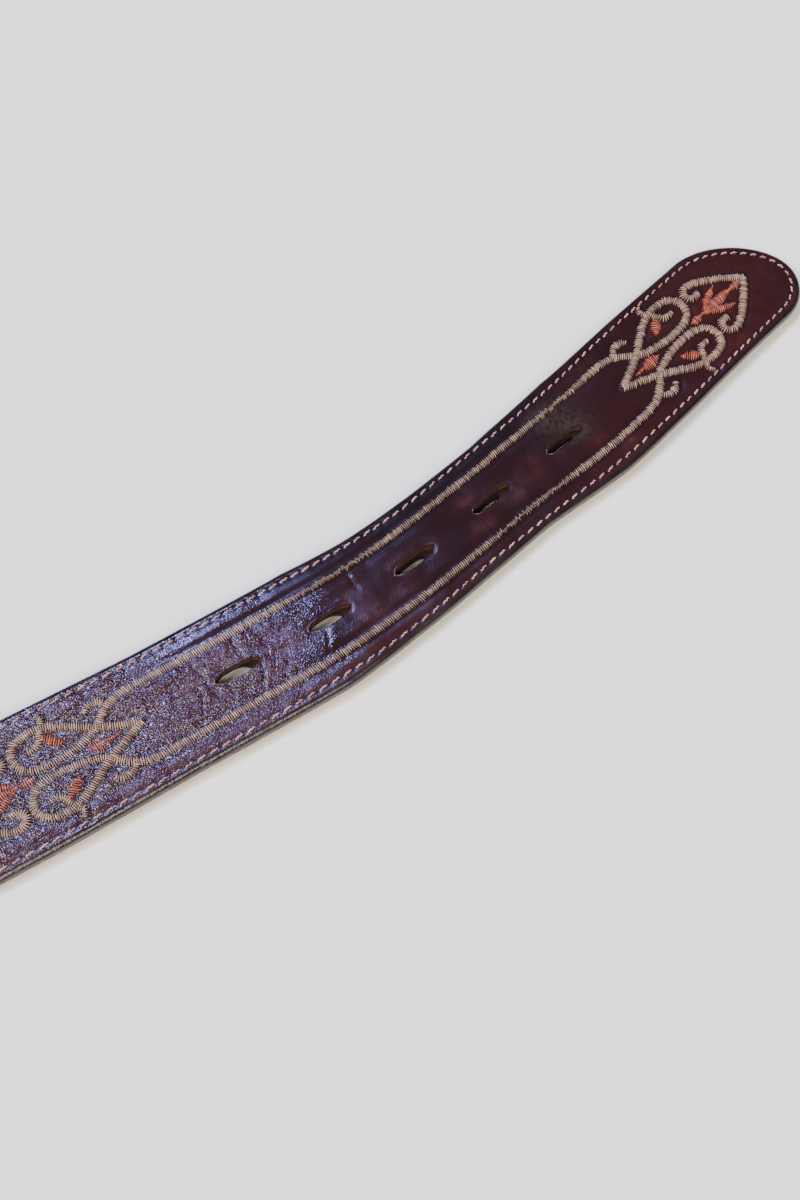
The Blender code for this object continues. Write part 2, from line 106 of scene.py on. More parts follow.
# Lights: where they are from the aim point, in metres and in the camera's own directions
WINDOW_PLACE = (-1.30, 1.28, 3.1)
SIDE_LIGHT_PLACE = (-3.4, -0.9, 3.0)
ROOM_LIGHT_PLACE = (0.9, -3.0, 3.4)


# ---------------------------------------------------------------- plan

def turn_table():
    """The middle line's turn and place, from the bar to the tip."""
    along = np.arange(0, STRAP_LENGTH + 0.5 * MM, 1 * MM)
    distances, degrees = zip(*TURN_KNOTS)
    turn = np.radians(np.interp(STRAP_LENGTH - along, distances, degrees))
    middle = (turn[1:] + turn[:-1]) / 2
    x = np.concatenate(([0], np.cumsum(np.cos(middle)))) * MM
    y = np.concatenate(([0], np.cumsum(np.sin(middle)))) * MM
    return along, turn, x, y


ALONG, TURN, PLAN_X, PLAN_Y = turn_table()


def place(s, v):
    """World x and y of points at s along the strap and v to the left of its middle."""
    turn = np.interp(s, ALONG, TURN)
    x = BAR.x + np.interp(s, ALONG, PLAN_X) - v * np.sin(turn)
    y = BAR.y + np.interp(s, ALONG, PLAN_Y) + v * np.cos(turn)
    return x, y


def in_plan(sv):
    """World x and y of (s, v) points, as rows."""
    return np.stack(place(sv[:, 0], sv[:, 1]), 1)


def half_width(s):
    distances, shares = zip(*WIDTH_KNOTS)
    return STRAP_WIDTH / 2 * np.interp(STRAP_LENGTH - s, distances, shares)


def edge(s, side, inset=0.0):
    """The left (+1) or right (-1) edge's distance from the middle line."""
    reach, power = LEFT_ROUNDING if side > 0 else RIGHT_ROUNDING
    straight = side * (half_width(s) - inset)
    share = np.clip(1 - (STRAP_LENGTH - inset - s) / reach, 0, 1)
    return NOSE_OFFSET + (straight - NOSE_OFFSET) * (1 - share ** power) ** (1 / power)


def smoothstep(low, high, value):
    share = np.clip((value - low) / (high - low), 0, 1)
    return share * share * (3 - 2 * share)


def bell(value, width, power=2):
    """One in the middle, fading to nothing beyond the width."""
    return np.exp(-(value / width) ** power)


def left_of(directions):
    """Each direction in plan, turned a quarter turn to the left."""
    return np.stack([-directions[:, 1], directions[:, 0]], 1)


def unit(vectors):
    """Each row, scaled to length one."""
    return vectors / np.linalg.norm(vectors, axis=1)[:, None]


def travelled_along(line):
    """The distance travelled along a line at each of its points."""
    return np.concatenate([[0], np.cumsum(np.linalg.norm(np.diff(line, axis=0), axis=1))])


def points_at(line, travelled, at):
    """The line's points at given distances along it."""
    return np.stack([np.interp(at, travelled, line[:, axis]) for axis in range(2)], axis=1)


def soft_noise(x, y, scale, seed):
    """Smooth random values from -1 to 1, about one change per scale."""
    size = 64
    lattice = np.random.RandomState(seed).uniform(-1, 1, (size, size))
    u, w = x / scale, y / scale
    column, row = np.floor(u).astype(int), np.floor(w).astype(int)
    fu, fw = u - column, w - row
    fu, fw = fu * fu * (3 - 2 * fu), fw * fw * (3 - 2 * fw)

    def along_row(step):
        near = lattice[column % size, (row + step) % size]
        far = lattice[(column + 1) % size, (row + step) % size]
        return near * (1 - fu) + far * fu

    return along_row(0) * (1 - fw) + along_row(1) * fw


# ---------------------------------------------------------------- embroidery paths, in each motif's own mm

MOTIF_LENGTH = 47.5
PANELS = [11 + 252 * count for count in range(4)]    # ogive points from the tip, mm
PANEL_LENGTH = 242
BORDER_OFFSET = 9.4              # the border lines' distance from the middle line, mm
SATIN = 2.35                     # width of the scrolls' satin, mm
BORDER_SATIN = 2.25              # width of the border lines' satin, mm
TIP_MOTIF_SHIFT = 1.3            # the first motif was sewn this far from its place, mm

SCROLL_IN = ((0.0, BORDER_OFFSET), (3.0, 8.9), (6.0, 7.5), (8.6, 5.3), (10.6, 3.6),
             (13.5, 2.5), (17.5, 1.7), (22.0, 1.35), (25.6, 1.7), (28.2, 2.9), (29.6, 5.2), (29.7, 7.2))
SCROLL_OUT = ((29.7, 7.2), (28.0, 9.8), (24.8, 10.7), (21.2, 10.5), (18.0, 9.3),
              (14.5, 7.2), (10.0, 4.4), (5.5, 2.2), (0.2, 0.1))
OGIVE = ((47.4, 0.0), (44.7, 2.8), (41.5, 5.4), (38.3, 7.7), (35.2, 9.1), (32.8, 8.7),
         (32.0, 6.8), (33.2, 5.2), (35.2, 5.3))
INNER_CURL = ((21.6, 9.8), (22.3, 8.4), (22.9, 7.0), (24.2, 6.3), (25.8, 6.5))
BUD = ((5.0, 7.8), (6.2, 9.3), (8.0, 10.1), (9.7, 9.8), (10.7, 8.9))
SPUR = ((20.8, 10.9), (20.0, 12.2), (20.7, 13.7))
SATIN_PATHS = (                  # path, widths along it, height above the leather
    (SCROLL_IN, (SATIN,), 0.36), (SCROLL_OUT, (SATIN,), 0.62),
    (OGIVE, (SATIN, SATIN, SATIN, SATIN, 2.3), 0.46), (INNER_CURL, (1.7, 1.9, 2.3, 1.7), 0.46),
    (BUD, (1.5, 2.0, 2.5, 1.5), 0.42), (SPUR, (1.9, 1.7, 1.2), 0.4),
)
LEAVES = (                       # base, tip, half width
    ((31.4, 0.0), (42.3, 0.0), 1.75), ((32.0, 0.6), (39.6, 4.1), 1.15), ((32.0, -0.6), (39.6, -4.1), 1.15),
    ((42.2, 0.0), (45.8, 0.0), 1.35), ((27.0, 0.0), (30.4, 0.0), 1.45), ((30.0, 0.0), (32.2, 0.0), 0.4),
    ((13.6, 0.0), (7.9, 0.0), 2.0), ((8.8, 0.0), (5.2, 0.2), 0.45),
    ((22.0, 8.3), (17.7, 4.5), 1.6), ((22.0, -8.3), (17.7, -4.5), 1.6),
)


def smooth_path(points, pitch):
    """Evenly spaced points on a smooth curve through the given ones, their tangents and places along it."""
    given = np.array(points, float)
    padded = np.vstack([2 * given[0] - given[1], given, 2 * given[-1] - given[-2]])
    t = np.linspace(0, 1, 24, endpoint=False)[:, None]
    spans = []
    for a, b, c, d in zip(padded, padded[1:], padded[2:], padded[3:]):
        spans.append(b + (c - a) * t / 2 + (2 * a - 5 * b + 4 * c - d) * t ** 2 / 2
                     + (3 * b - a - 3 * c + d) * t ** 3 / 2)
    curve = np.vstack(spans + [given[-1:]])
    travelled = travelled_along(curve)
    at = np.linspace(0, travelled[-1], max(3, round(travelled[-1] / pitch) + 1))
    points = points_at(curve, travelled, at)
    return points, unit(np.gradient(points, axis=0)), at


def to_strap(points, point_of_v, towards_tip):
    """Motif points, in mm, as (s, v) in metres. point_of_v is its distance from the tip, in mm."""
    u, v = points[:, 0] * MM, points[:, 1] * MM
    s = STRAP_LENGTH - point_of_v * MM + (u if towards_tip else -u)
    share = 0.35 + 0.65 * half_width(s) / (STRAP_WIDTH / 2)
    return np.stack([s, v * share], axis=1)


def motif_places():
    """(point of the V from the tip in mm, whether the motif points to the tip) for every motif."""
    for start in PANELS:
        yield start + MOTIF_LENGTH + (TIP_MOTIF_SHIFT if start == PANELS[0] else 0), True
        yield start + PANEL_LENGTH - MOTIF_LENGTH, False


def mirror(points):
    return tuple((u, -v) for u, v in points)


def border_lines():
    """The straight runs from a motif's scrolls to the middle of its panel."""
    run = PANEL_LENGTH / 2 - MOTIF_LENGTH
    left = tuple((-run * share, BORDER_OFFSET) for share in (1, 0.75, 0.5, 0.25, 0))
    return left, mirror(left)


# ---------------------------------------------------------------- meshes and chunks

def hinge_stations():
    """The hinge lines' distances from the bar along the strap."""
    stations = []
    x, y = place(ALONG, 0)
    for number in range(1, 8):
        at = JOINTS[f"strap_bend_{number}"]["pos_m"]
        stations.append(ALONG[np.argmin((x - at[0]) ** 2 + (y - at[1]) ** 2)])
    return stations


HINGES = hinge_stations()

# The chunks part midway between hinge lines
SEAMS = [round((a + b) / 2 / MM / 2) * 2 * MM + 0.5 * MM for a, b in zip(HINGES, HINGES[1:])]


def chunk_of(s):
    """Which chunk a station falls in: 0 at the tip, 6 at the buckle."""
    return np.searchsorted(-np.array(SEAMS), -np.asarray(s))


def bend_over_hinge(piece, chunk):
    """Bakes the chunk's placement into its mesh; the points each side of its hinge line go unused."""
    middle = HINGES[chunk]
    start = Vector((*map(float, place(middle + HALF_BEND, 0)), 0))
    end = Vector((*map(float, place(middle - HALF_BEND, 0)), 0))
    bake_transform(piece)


def make_mesh(name, vertices, faces, attributes=None, normals=None):
    """A smooth mesh object. attributes and normals hold a value for every vertex."""
    mesh = bpy.data.meshes.new(name)
    mesh.from_pydata(vertices.tolist(), [], faces.tolist() if hasattr(faces, "tolist") else faces)
    for key, values in (attributes or {}).items():
        kind = "FLOAT_VECTOR" if values.ndim == 2 else "FLOAT"
        layer = mesh.attributes.new(key, kind, "POINT")
        layer.data.foreach_set("vector" if values.ndim == 2 else "value", values.astype(np.float32).ravel())
    mesh.shade_smooth()
    if normals is not None:
        mesh.normals_split_custom_set_from_vertices(normals.tolist())
    piece = bpy.data.objects.new(name, mesh)
    bpy.context.scene.collection.objects.link(piece)
    return piece


def split_into_chunks(name, vertices, faces, face_station, attributes, materials, face_material):
    """One piece for every chunk of a strap-long mesh, with the whole mesh's normals."""
    whole = make_mesh(name, vertices, faces)
    normals = np.empty(len(vertices) * 3, np.float32)
    whole.data.vertex_normals.foreach_get("vector", normals)
    normals = normals.reshape(-1, 3)
    bpy.data.objects.remove(whole)
    pieces = []
    chunks = chunk_of(face_station)
    for chunk in range(len(HINGES)):
        mine = np.flatnonzero(chunks == chunk)
        if not len(mine):
            continue
        used, renumbered = np.unique(faces[mine], return_inverse=True)
        piece = make_mesh(
            f"{name}_{chunk + 1}", vertices[used], renumbered.reshape(len(mine), -1),
            {key: values[used] for key, values in attributes.items()}, normals[used],
        )
        for material in materials:
            piece.data.materials.append(material)
        piece.data.polygons.foreach_set("material_index", face_material[mine])
        bend_over_hinge(piece, chunk)
        pieces.append(piece)
    return pieces


# ---------------------------------------------------------------- strap shells

def side_outline(side, start, inset):
    """One side's outline from a station to the nose, close together round the tip."""
    reach = (LEFT_ROUNDING if side > 0 else RIGHT_ROUNDING)[0]
    round_start = STRAP_LENGTH - inset - reach
    straight = np.linspace(start, round_start, 30)[:-1] if start < round_start else np.empty(0)
    angles = np.linspace(0, math.pi / 2, 160)
    s = np.concatenate([straight, round_start + reach * np.sin(angles)])
    return np.stack([s, edge(s, side, inset)], axis=1)


def resample(line, count):
    """The same line with a given number of evenly spaced points."""
    travelled = travelled_along(line)
    return points_at(line, travelled, np.linspace(0, travelled[-1], count))


TIP_PATCH = 24 * MM              # from here to the nose, the grid's rows bend round the tip
FINE_PATCH = 290.5 * MM          # from here to the nose, the grid's rows are fine
RIGHT_CORNER = 2.2 * MM          # how far back from the nose the bent rows' corners lie
LEFT_CORNER = 6 * MM


def strap_grid(start, fine_row, coarse_row, columns, inset):
    """Points of the strap's face as rows of (s, v), with the last rows bent round the tip."""
    tip_start = STRAP_LENGTH - TIP_PATCH
    fine_start = STRAP_LENGTH - FINE_PATCH
    coarse = np.arange(start, fine_start - coarse_row / 2, coarse_row)
    fine = np.arange(fine_start, tip_start + fine_row / 2, fine_row)
    s = np.concatenate([coarse, fine])
    share = np.linspace(0, 1, columns)
    right, left = edge(s, -1, inset), edge(s, 1, inset)
    straight = np.stack([
        np.repeat(s[:, None], columns, 1), right[:, None] + (left - right)[:, None] * share,
    ], axis=-1)
    rows = max(6, round(20 * MM / fine_row))
    right_side, left_side = side_outline(-1, s[-1], inset), side_outline(1, s[-1], inset)
    right_corner = np.argmax(right_side[:, 0] > STRAP_LENGTH - inset - RIGHT_CORNER)
    left_corner = np.argmax(left_side[:, 0] > STRAP_LENGTH - inset - LEFT_CORNER)
    side_right = resample(right_side[:right_corner + 1], rows)
    side_left = resample(left_side[:left_corner + 1], rows)
    end = resample(np.vstack([right_side[right_corner:], left_side[left_corner:-1][::-1]]), columns)
    w, u = np.linspace(0, 1, rows)[:, None, None], share[None, :, None]
    first = straight[-1][None]
    corners = ((1 - u) * (1 - w) * first[:, :1] + u * (1 - w) * first[:, -1:]
               + (1 - u) * w * end[None, :1] + u * w * end[None, -1:])
    patch = ((1 - w) * first + w * end[None] + (1 - u) * side_right[:, None]
             + u * side_left[:, None] - corners)
    return np.concatenate([straight, patch[1:]])


def open_slots(grid, slits, shift):
    """Spread the grid round each slot. Returns it with the slots' half width at every row.

    slits gives each slot's share of its full width. shift moves its tip end back by twice as much.
    """
    middle = grid.shape[1] // 2
    opening = np.zeros(len(grid))
    reach = 5.5 * MM
    for from_tip, slit in zip(SLOTS, slits):
        share = np.abs(grid[:, middle, 0] - (STRAP_LENGTH - from_tip - shift)) / (SLOT_HALF_LENGTH - shift)
        opening = np.maximum(opening, slit * SLOT_HALF_WIDTH * np.clip(1 - share ** 3, 0, 1) ** 0.62)
    v = grid[:, :, 1]
    near = (opening[:, None] > 0) & (np.abs(v) < reach)
    spread = np.sign(v) * (opening[:, None] + np.abs(v) * (1 - opening[:, None] / reach))
    grid[:, :, 1] = np.where(near, spread, v)
    return grid, opening


TOP, EDGE, SLOT_WALL, BOTTOM = range(4)          # kinds of faces


class ShellParts:
    """A shell's growing lists: vertices with their strap coordinates, and faces with their kinds."""

    def __init__(self):
        self.vertices, self.sv, self.distances, self.faces, self.kinds = [], [], [], [], []

    def add_points(self, x, y, z, sv, distance):
        """Add vertices and return their numbers."""
        first = sum(map(len, self.vertices))
        self.vertices.append(np.stack([x, y, z], 1))
        self.sv.append(sv)
        self.distances.append(distance)
        return np.arange(first, first + len(sv))

    def add_faces(self, faces, kind):
        self.faces.append(faces)
        self.kinds.append(np.full(len(faces), kind))

    def joined(self):
        sv, faces = np.vstack(self.sv), np.vstack(self.faces)
        return {
            "vertices": np.vstack(self.vertices), "faces": faces, "kinds": np.concatenate(self.kinds),
            "sv": sv, "distance": np.concatenate(self.distances), "station": sv[faces, 0].mean(axis=1),
        }


def shell(start, fine_row, coarse_row, columns, inset, top, bottom, profile, slits=FACE_SLITS, shift=0.0):
    """A closed leather shell: top and bottom faces, a profiled edge all round and the slots' walls.

    top and bottom give heights for (s, v, distance from the edge); profile lists (outward, height).
    """
    grid, opening = open_slots(strap_grid(start, fine_row, coarse_row, columns, inset), slits, shift)
    middle = columns // 2
    split = np.flatnonzero(opening > 0)
    right_copies = np.stack([grid[split, middle, 0], -opening[split]], axis=1)
    grid[split, middle, 1] = opening[split]
    sv = np.vstack([grid.reshape(-1, 2), right_copies])
    number = np.arange(len(grid) * columns).reshape(-1, columns)
    right_number = number[:, middle].copy()
    right_number[split] = number.size + np.arange(len(split))

    distance = edge_distance(sv, grid) + inset
    x, y = place(sv[:, 0], sv[:, 1])
    top_z = top(sv[:, 0], sv[:, 1], distance)
    parts = ShellParts()
    parts.add_points(x, y, top_z, sv, distance)
    parts.add_points(x, y, bottom(sv[:, 0], sv[:, 1], distance), sv, distance)
    loops = edge_loops(parts, number, x, y, sv, inset, profile)

    right_half = number[:, :middle + 1].copy()
    right_half[:, middle] = right_number
    for block in (right_half, number[:, middle:]):
        corners = (block[:-1, :-1], block[1:, :-1], block[1:, 1:], block[:-1, 1:])
        quads = np.stack(corners, -1).reshape(-1, 4)
        parts.add_faces(quads, TOP)
        parts.add_faces(quads[:, ::-1] + len(sv), BOTTOM)
    for upper, lower in zip(loops, loops[1:]):
        parts.add_faces(np.stack([upper, lower, np.roll(lower, -1), np.roll(upper, -1)], 1), EDGE)
    for first, last in slot_runs(split):
        rim = np.concatenate([number[first - 1:last + 2, middle], right_number[first:last + 1][::-1]])
        add_slot_walls(parts, rim, x, y, top_z, sv, distance)
    return parts.joined()


def edge_loops(parts, number, x, y, sv, inset, profile):
    """Vertices down the shell's edge, as loops from the top face's outline to the bottom's."""
    ring = np.concatenate([number[:, 0], number[-1, 1:-1], number[::-1, -1], number[0, -2:0:-1]])
    outward = ring_normals(x[ring], y[ring])
    loops = [ring]
    for out, height in profile:
        loops.append(parts.add_points(
            x[ring] + outward[:, 0] * out, y[ring] + outward[:, 1] * out, np.full(len(ring), height),
            sv[ring], np.full(len(ring), inset - out),
        ))
    return loops + [ring + len(sv)]


def add_slot_walls(parts, rim, x, y, top_z, sv, distance):
    """The walls of one slot. Two loops just under its rim keep the rim crisp."""
    loops = [rim]
    for drop in (0.12 * MM, 0.5 * MM):
        loops.append(parts.add_points(x[rim], y[rim], top_z[rim] - drop, sv[rim], distance[rim]))
    loops.append(rim + len(sv))
    for upper, lower in zip(loops, loops[1:]):
        parts.add_faces(np.stack([upper, np.roll(upper, -1), np.roll(lower, -1), lower], 1), SLOT_WALL)


def edge_distance(sv, grid):
    """How far each point lies inside the grid's own outline."""
    s, v = sv[:, 0], sv[:, 1]
    distance = np.minimum(np.interp(s, grid[:, -1, 0], grid[:, -1, 1]) - v,
                          v - np.interp(s, grid[:, 0, 0], grid[:, 0, 1]))
    at_tip = s > STRAP_LENGTH - 40 * MM
    outline = np.vstack([grid[:, 0], grid[-1], grid[::-1, -1]])
    outline = outline[outline[:, 0] > STRAP_LENGTH - 60 * MM]
    gaps = np.linalg.norm(sv[at_tip][:, None] - outline[None], axis=2).min(axis=1)
    distance[at_tip] = np.minimum(gaps, np.maximum(distance[at_tip], gaps))
    return np.maximum(distance, 0)


def ring_normals(x, y):
    """Outward directions of a closed loop that runs anticlockwise."""
    along = np.stack([np.roll(x, -1) - np.roll(x, 1), np.roll(y, -1) - np.roll(y, 1)], 1)
    length = np.maximum(np.linalg.norm(along, axis=1), 1e-9)
    return np.stack([along[:, 1], -along[:, 0]], 1) / length[:, None]


def slot_runs(split):
    """First and last rows of each run of neighbouring split rows."""
    breaks = np.flatnonzero(np.diff(split) > 1)
    starts = np.concatenate([[0], breaks + 1])
    ends = np.concatenate([breaks, [len(split) - 1]])
    return [(split[a], split[b]) for a, b in zip(starts, ends)] if len(split) else []


# ---------------------------------------------------------------- threads

def thread_arcs(starts, ends, base, lift, across, radius, shade):
    """Many short threads that arch from start to end. Each dives into the leather at both ends.

    starts and ends are world x, y; base is the leather's height there; across is each thread's sideways
    direction. Returns what weave_tubes does.
    """
    steps, sides, flatness, dive = 8, 5, 0.55, 0.35 * MM
    t = np.linspace(0, 1, steps + 1)
    rise = (1 - np.abs(2 * t - 1) ** 3.5)[None, :]
    z = base[:, None] - dive + (lift[:, None] + dive) * rise
    path = starts[:, None] + (ends - starts)[:, None] * t[None, :, None]
    angles = np.arange(sides) / sides * 2 * math.pi
    ring_side, ring_up = np.cos(angles), np.sin(angles) * flatness
    taper = (0.30 + 0.70 * (1 - np.abs(2 * t - 1) ** 2.2))[None, :, None]
    wide = radius[:, None, None] * ring_side[None, None] * taper
    tall = radius[:, None, None] * ring_up[None, None] * taper
    count = len(starts)
    vertices = np.empty((count, steps + 1, sides, 3))
    vertices[..., :2] = path[:, :, None] + across[:, None, None] * wide[..., None]
    vertices[..., 2] = z[:, :, None] + tall
    return weave_tubes(vertices, shade)


def weave_tubes(vertices, shade):
    """Tubes from rings of vertices: (tubes, rings, sides, 3), with a shade for each tube.

    Returns vertices, walls, a shade for every vertex and the vertices' numbers, for the end caps.
    """
    count, rings, sides, _ = vertices.shape
    index = np.arange(count * rings * sides).reshape(count, rings, sides)
    a, b = index[:, :-1], index[:, 1:]
    walls = np.stack([a, np.roll(a, -1, 2), np.roll(b, -1, 2), b], -1).reshape(-1, 4)
    return vertices.reshape(-1, 3), walls, np.repeat(shade, rings * sides), index


FRAYS = (                        # distance from the tip, lateral place, radius: mm
    (76, 9, 7), (80, 2, 5), (104, -8.3, 6), (109, -8, 4), (146, 8.7, 9), (158, 9, 5), (92, -9, 4),
)


def frayed(s, v):
    """How worn the threads are at a place, from 0 to 1."""
    wear = np.zeros(np.shape(s))
    for from_tip, middle, radius in FRAYS:
        gap = np.hypot(s - STRAP_LENGTH + from_tip * MM, v - middle * MM)
        wear = np.maximum(wear, bell(gap, radius * MM))
    return wear


def darkened_by_slots(s):
    """How much darker the leather and threads by the slots are made, from 0 to 1."""
    return bell(STRAP_LENGTH - s - 120 * MM, 44 * MM, 4)


SATIN_PITCH = 0.55               # from thread to thread, mm


def satin_column(points, widths, point_of_v, towards_tip, lift, rng):
    """Threads laid side by side across a motif's path, in mm. Returns their arcs' arguments."""
    path, tangents, at = smooth_path(points, SATIN_PITCH)
    count = len(path)
    middle = to_strap(path, point_of_v, towards_tip)
    wear = frayed(middle[:, 0], middle[:, 1])
    width = np.interp(at / at[-1], np.linspace(0, 1, len(widths)), widths)
    lean = rng.normal(0.12, 0.05, count) + wear * rng.normal(0, 0.35, count)
    slanted = left_of(tangents) + tangents * lean[:, None]
    reach = width / 2 + rng.normal(0.05, 0.13, (2, count))
    reach *= 1 - wear * rng.uniform(0, 0.65, (2, count))
    left = to_strap(path + slanted * reach[0][:, None], point_of_v, towards_tip)
    right = to_strap(path - slanted * reach[1][:, None], point_of_v, towards_tip)
    height = (lift + rng.normal(0, 0.03, count)) * (1 - 0.45 * wear)
    arcs = arcs_between(left, right, height, SATIN_PITCH * rng.uniform(0.32, 0.39, count), rng)
    arcs["shade"] = arcs["shade"] - 1.1 * wear * rng.uniform(0.3, 1, count) - 0.45 * darkened_by_slots(middle[:, 0])
    return arcs


def arcs_between(left, right, lift, radius, rng):
    """Arguments for thread_arcs from strap coordinates, with lifts and radius in mm."""
    starts, ends = in_plan(left), in_plan(right)
    along = ends - starts
    length = np.maximum(np.linalg.norm(along, axis=1), 1e-6)[:, None]
    middle = (left + right) / 2
    return {
        "starts": starts, "ends": ends, "lift": lift * MM, "radius": radius * MM,
        "across": left_of(along) / length,
        "base": face_height(middle[:, 0], middle[:, 1]), "shade": rng.uniform(0, 1, len(left)),
        "station": middle[:, 0],
    }


def join_arcs(groups):
    """One set of arcs' arguments out of many."""
    return {key: np.concatenate([group[key] for group in groups]) for key in groups[0]}


def add_threads(name, arcs, material):
    """Thread pieces, one for each chunk of the strap."""
    pieces = []
    chunks = chunk_of(arcs["station"])
    for chunk in range(len(HINGES)):
        mine = chunks == chunk
        if not mine.any():
            continue
        chosen = {key: values[mine] for key, values in arcs.items() if key != "station"}
        vertices, walls, shade, index = thread_arcs(**chosen)
        piece = thread_piece(f"{name}_{chunk + 1}", vertices, walls, index, shade, material)
        bend_over_hinge(piece, chunk)
        pieces.append(piece)
    return pieces


def thread_piece(name, vertices, walls, index, shade, material):
    """A piece of many closed tubes."""
    caps = index[:, 0, ::-1].tolist() + index[:, -1].tolist()
    piece = make_mesh(name, vertices, walls.tolist() + caps, {"shade": shade})
    piece.data.materials.append(material)
    return piece


# ---------------------------------------------------------------- the face's relief

def near_points(points):
    """A lookup of distances to the nearest of many points in strap coordinates."""
    tree = KDTree(len(points))
    for number, point in enumerate(points):
        tree.insert((point[0], point[1], 0), number)
    tree.balance()
    return tree


def distances_to(tree, s, v, limit):
    """Each point's distance to the nearest point of the lookup, up to a limit."""
    found = np.full(len(s), limit)
    for number, (a, b) in enumerate(zip(s.tolist(), v.tolist())):
        found[number] = min(limit, tree.find((a, b, 0))[2])
    return found


STITCH_PITCH = np.array(((30, 90, 230), (2.6, 2.95, 3.3))) * MM      # places from the tip and pitch there


def stitch_line():
    """The stitch holes: from the buckle along the right, round the tip and back on the left."""
    right = side_outline(-1, STRAP_START + 1.5 * MM, STITCH_INSET)
    left = side_outline(1, STRAP_START + 1.5 * MM, STITCH_INSET)
    line = np.vstack([right, left[:-1][::-1]])
    travelled = travelled_along(line)
    holes, position = [], 0.0
    while position < travelled[-1]:
        s = np.interp(position, travelled, line[:, 0])
        v = np.interp(position, travelled, line[:, 1])
        holes.append((s, v))
        position += np.interp(STRAP_LENGTH - s, *STITCH_PITCH)
    return np.array(holes)


def satin_cores():
    """Points all along the tan embroidery, for the dents that it pulls into the leather."""
    lines = [side for path, *_ in SATIN_PATHS for side in (path, mirror(path))]
    lines.extend(border_lines())
    points = []
    for point_of_v, towards_tip in motif_places():
        for line in lines:
            points.append(to_strap(smooth_path(line, 0.8)[0], point_of_v, towards_tip))
    return np.vstack(points)


STITCH_HOLES = stitch_line()


def slot_distance(s, v):
    """Distance from the nearest slot's rim."""
    rim = np.full(np.shape(s), 1.0)
    for from_tip in SLOTS:
        along = np.abs(s - (STRAP_LENGTH - from_tip))
        beyond = np.maximum(along - (SLOT_HALF_LENGTH - SLOT_HALF_WIDTH), 0)
        rim = np.minimum(rim, np.maximum(np.hypot(beyond, v) - SLOT_HALF_WIDTH, 0))
    return rim


def face_height(s, v, distance=None):
    """The face leather's height. distance is from the edge; without it, the point lies well inside."""
    if distance is None:
        distance = np.full(np.shape(s), 5 * MM)
    padded = 0.15 * MM * smoothstep(STITCH_INSET, 5.5 * MM, distance)
    groove = -0.10 * MM * bell(distance - STITCH_INSET, 0.6 * MM)
    bead = -0.10 * MM * smoothstep(1.9 * MM, 1.2 * MM, distance)
    waves = 0.10 * MM * soft_noise(s, v, 18 * MM, 3) + 0.03 * MM * soft_noise(s, v, 7 * MM, 4)
    waves = waves * smoothstep(2 * MM, 5 * MM, distance)
    rim = slot_distance(s, v)
    lip = -0.09 * MM * bell(rim, 0.5 * MM)
    rumple = 0.06 * MM * bell(rim, 2.5 * MM) * soft_noise(s, v, 3 * MM, 5)
    return FACE_TOP + padded + groove + bead + waves + lip + rumple + creases(s, v)


CREASES = (                      # distance from the tip, lateral middle, half length, lean, depth: mm
    (175, -4.5, 4, 0.35, 0.20), (179, 4.5, 4, 0.15, 0.20), (184, -5, 4.5, 0.1, 0.16),
    (188.5, 3.5, 5, -0.1, 0.18), (191, -3, 4, 0.3, 0.12), (197, 1, 7, 0.15, 0.10),
    (171, 6, 3, -0.2, 0.14), (168, -6, 3, 0.5, 0.12),
    (77, 5.5, 4, 0.25, 0.03), (87, 5, 3, 0.4, 0.03), (147, 5, 3, 0.2, 0.07), (158, -4.5, 3, 0.3, 0.12),
)


def creases(s, v):
    """Folds across the strap where it has been buckled."""
    depth = np.zeros(np.shape(s))
    wobble = 0.8 * MM * soft_noise(v, np.ones_like(s), 2.2 * MM, 8)
    for from_tip, middle, half, lean, amount in CREASES:
        line = s - (STRAP_LENGTH - from_tip * MM) - lean * v - wobble
        fold = -bell(line, 0.45 * MM) + 0.3 * bell(line - 1.5 * MM, 1.2 * MM)
        depth = depth + amount * MM * fold * bell(v - middle * MM, half * MM, 4)
    return depth


# ---------------------------------------------------------------- materials

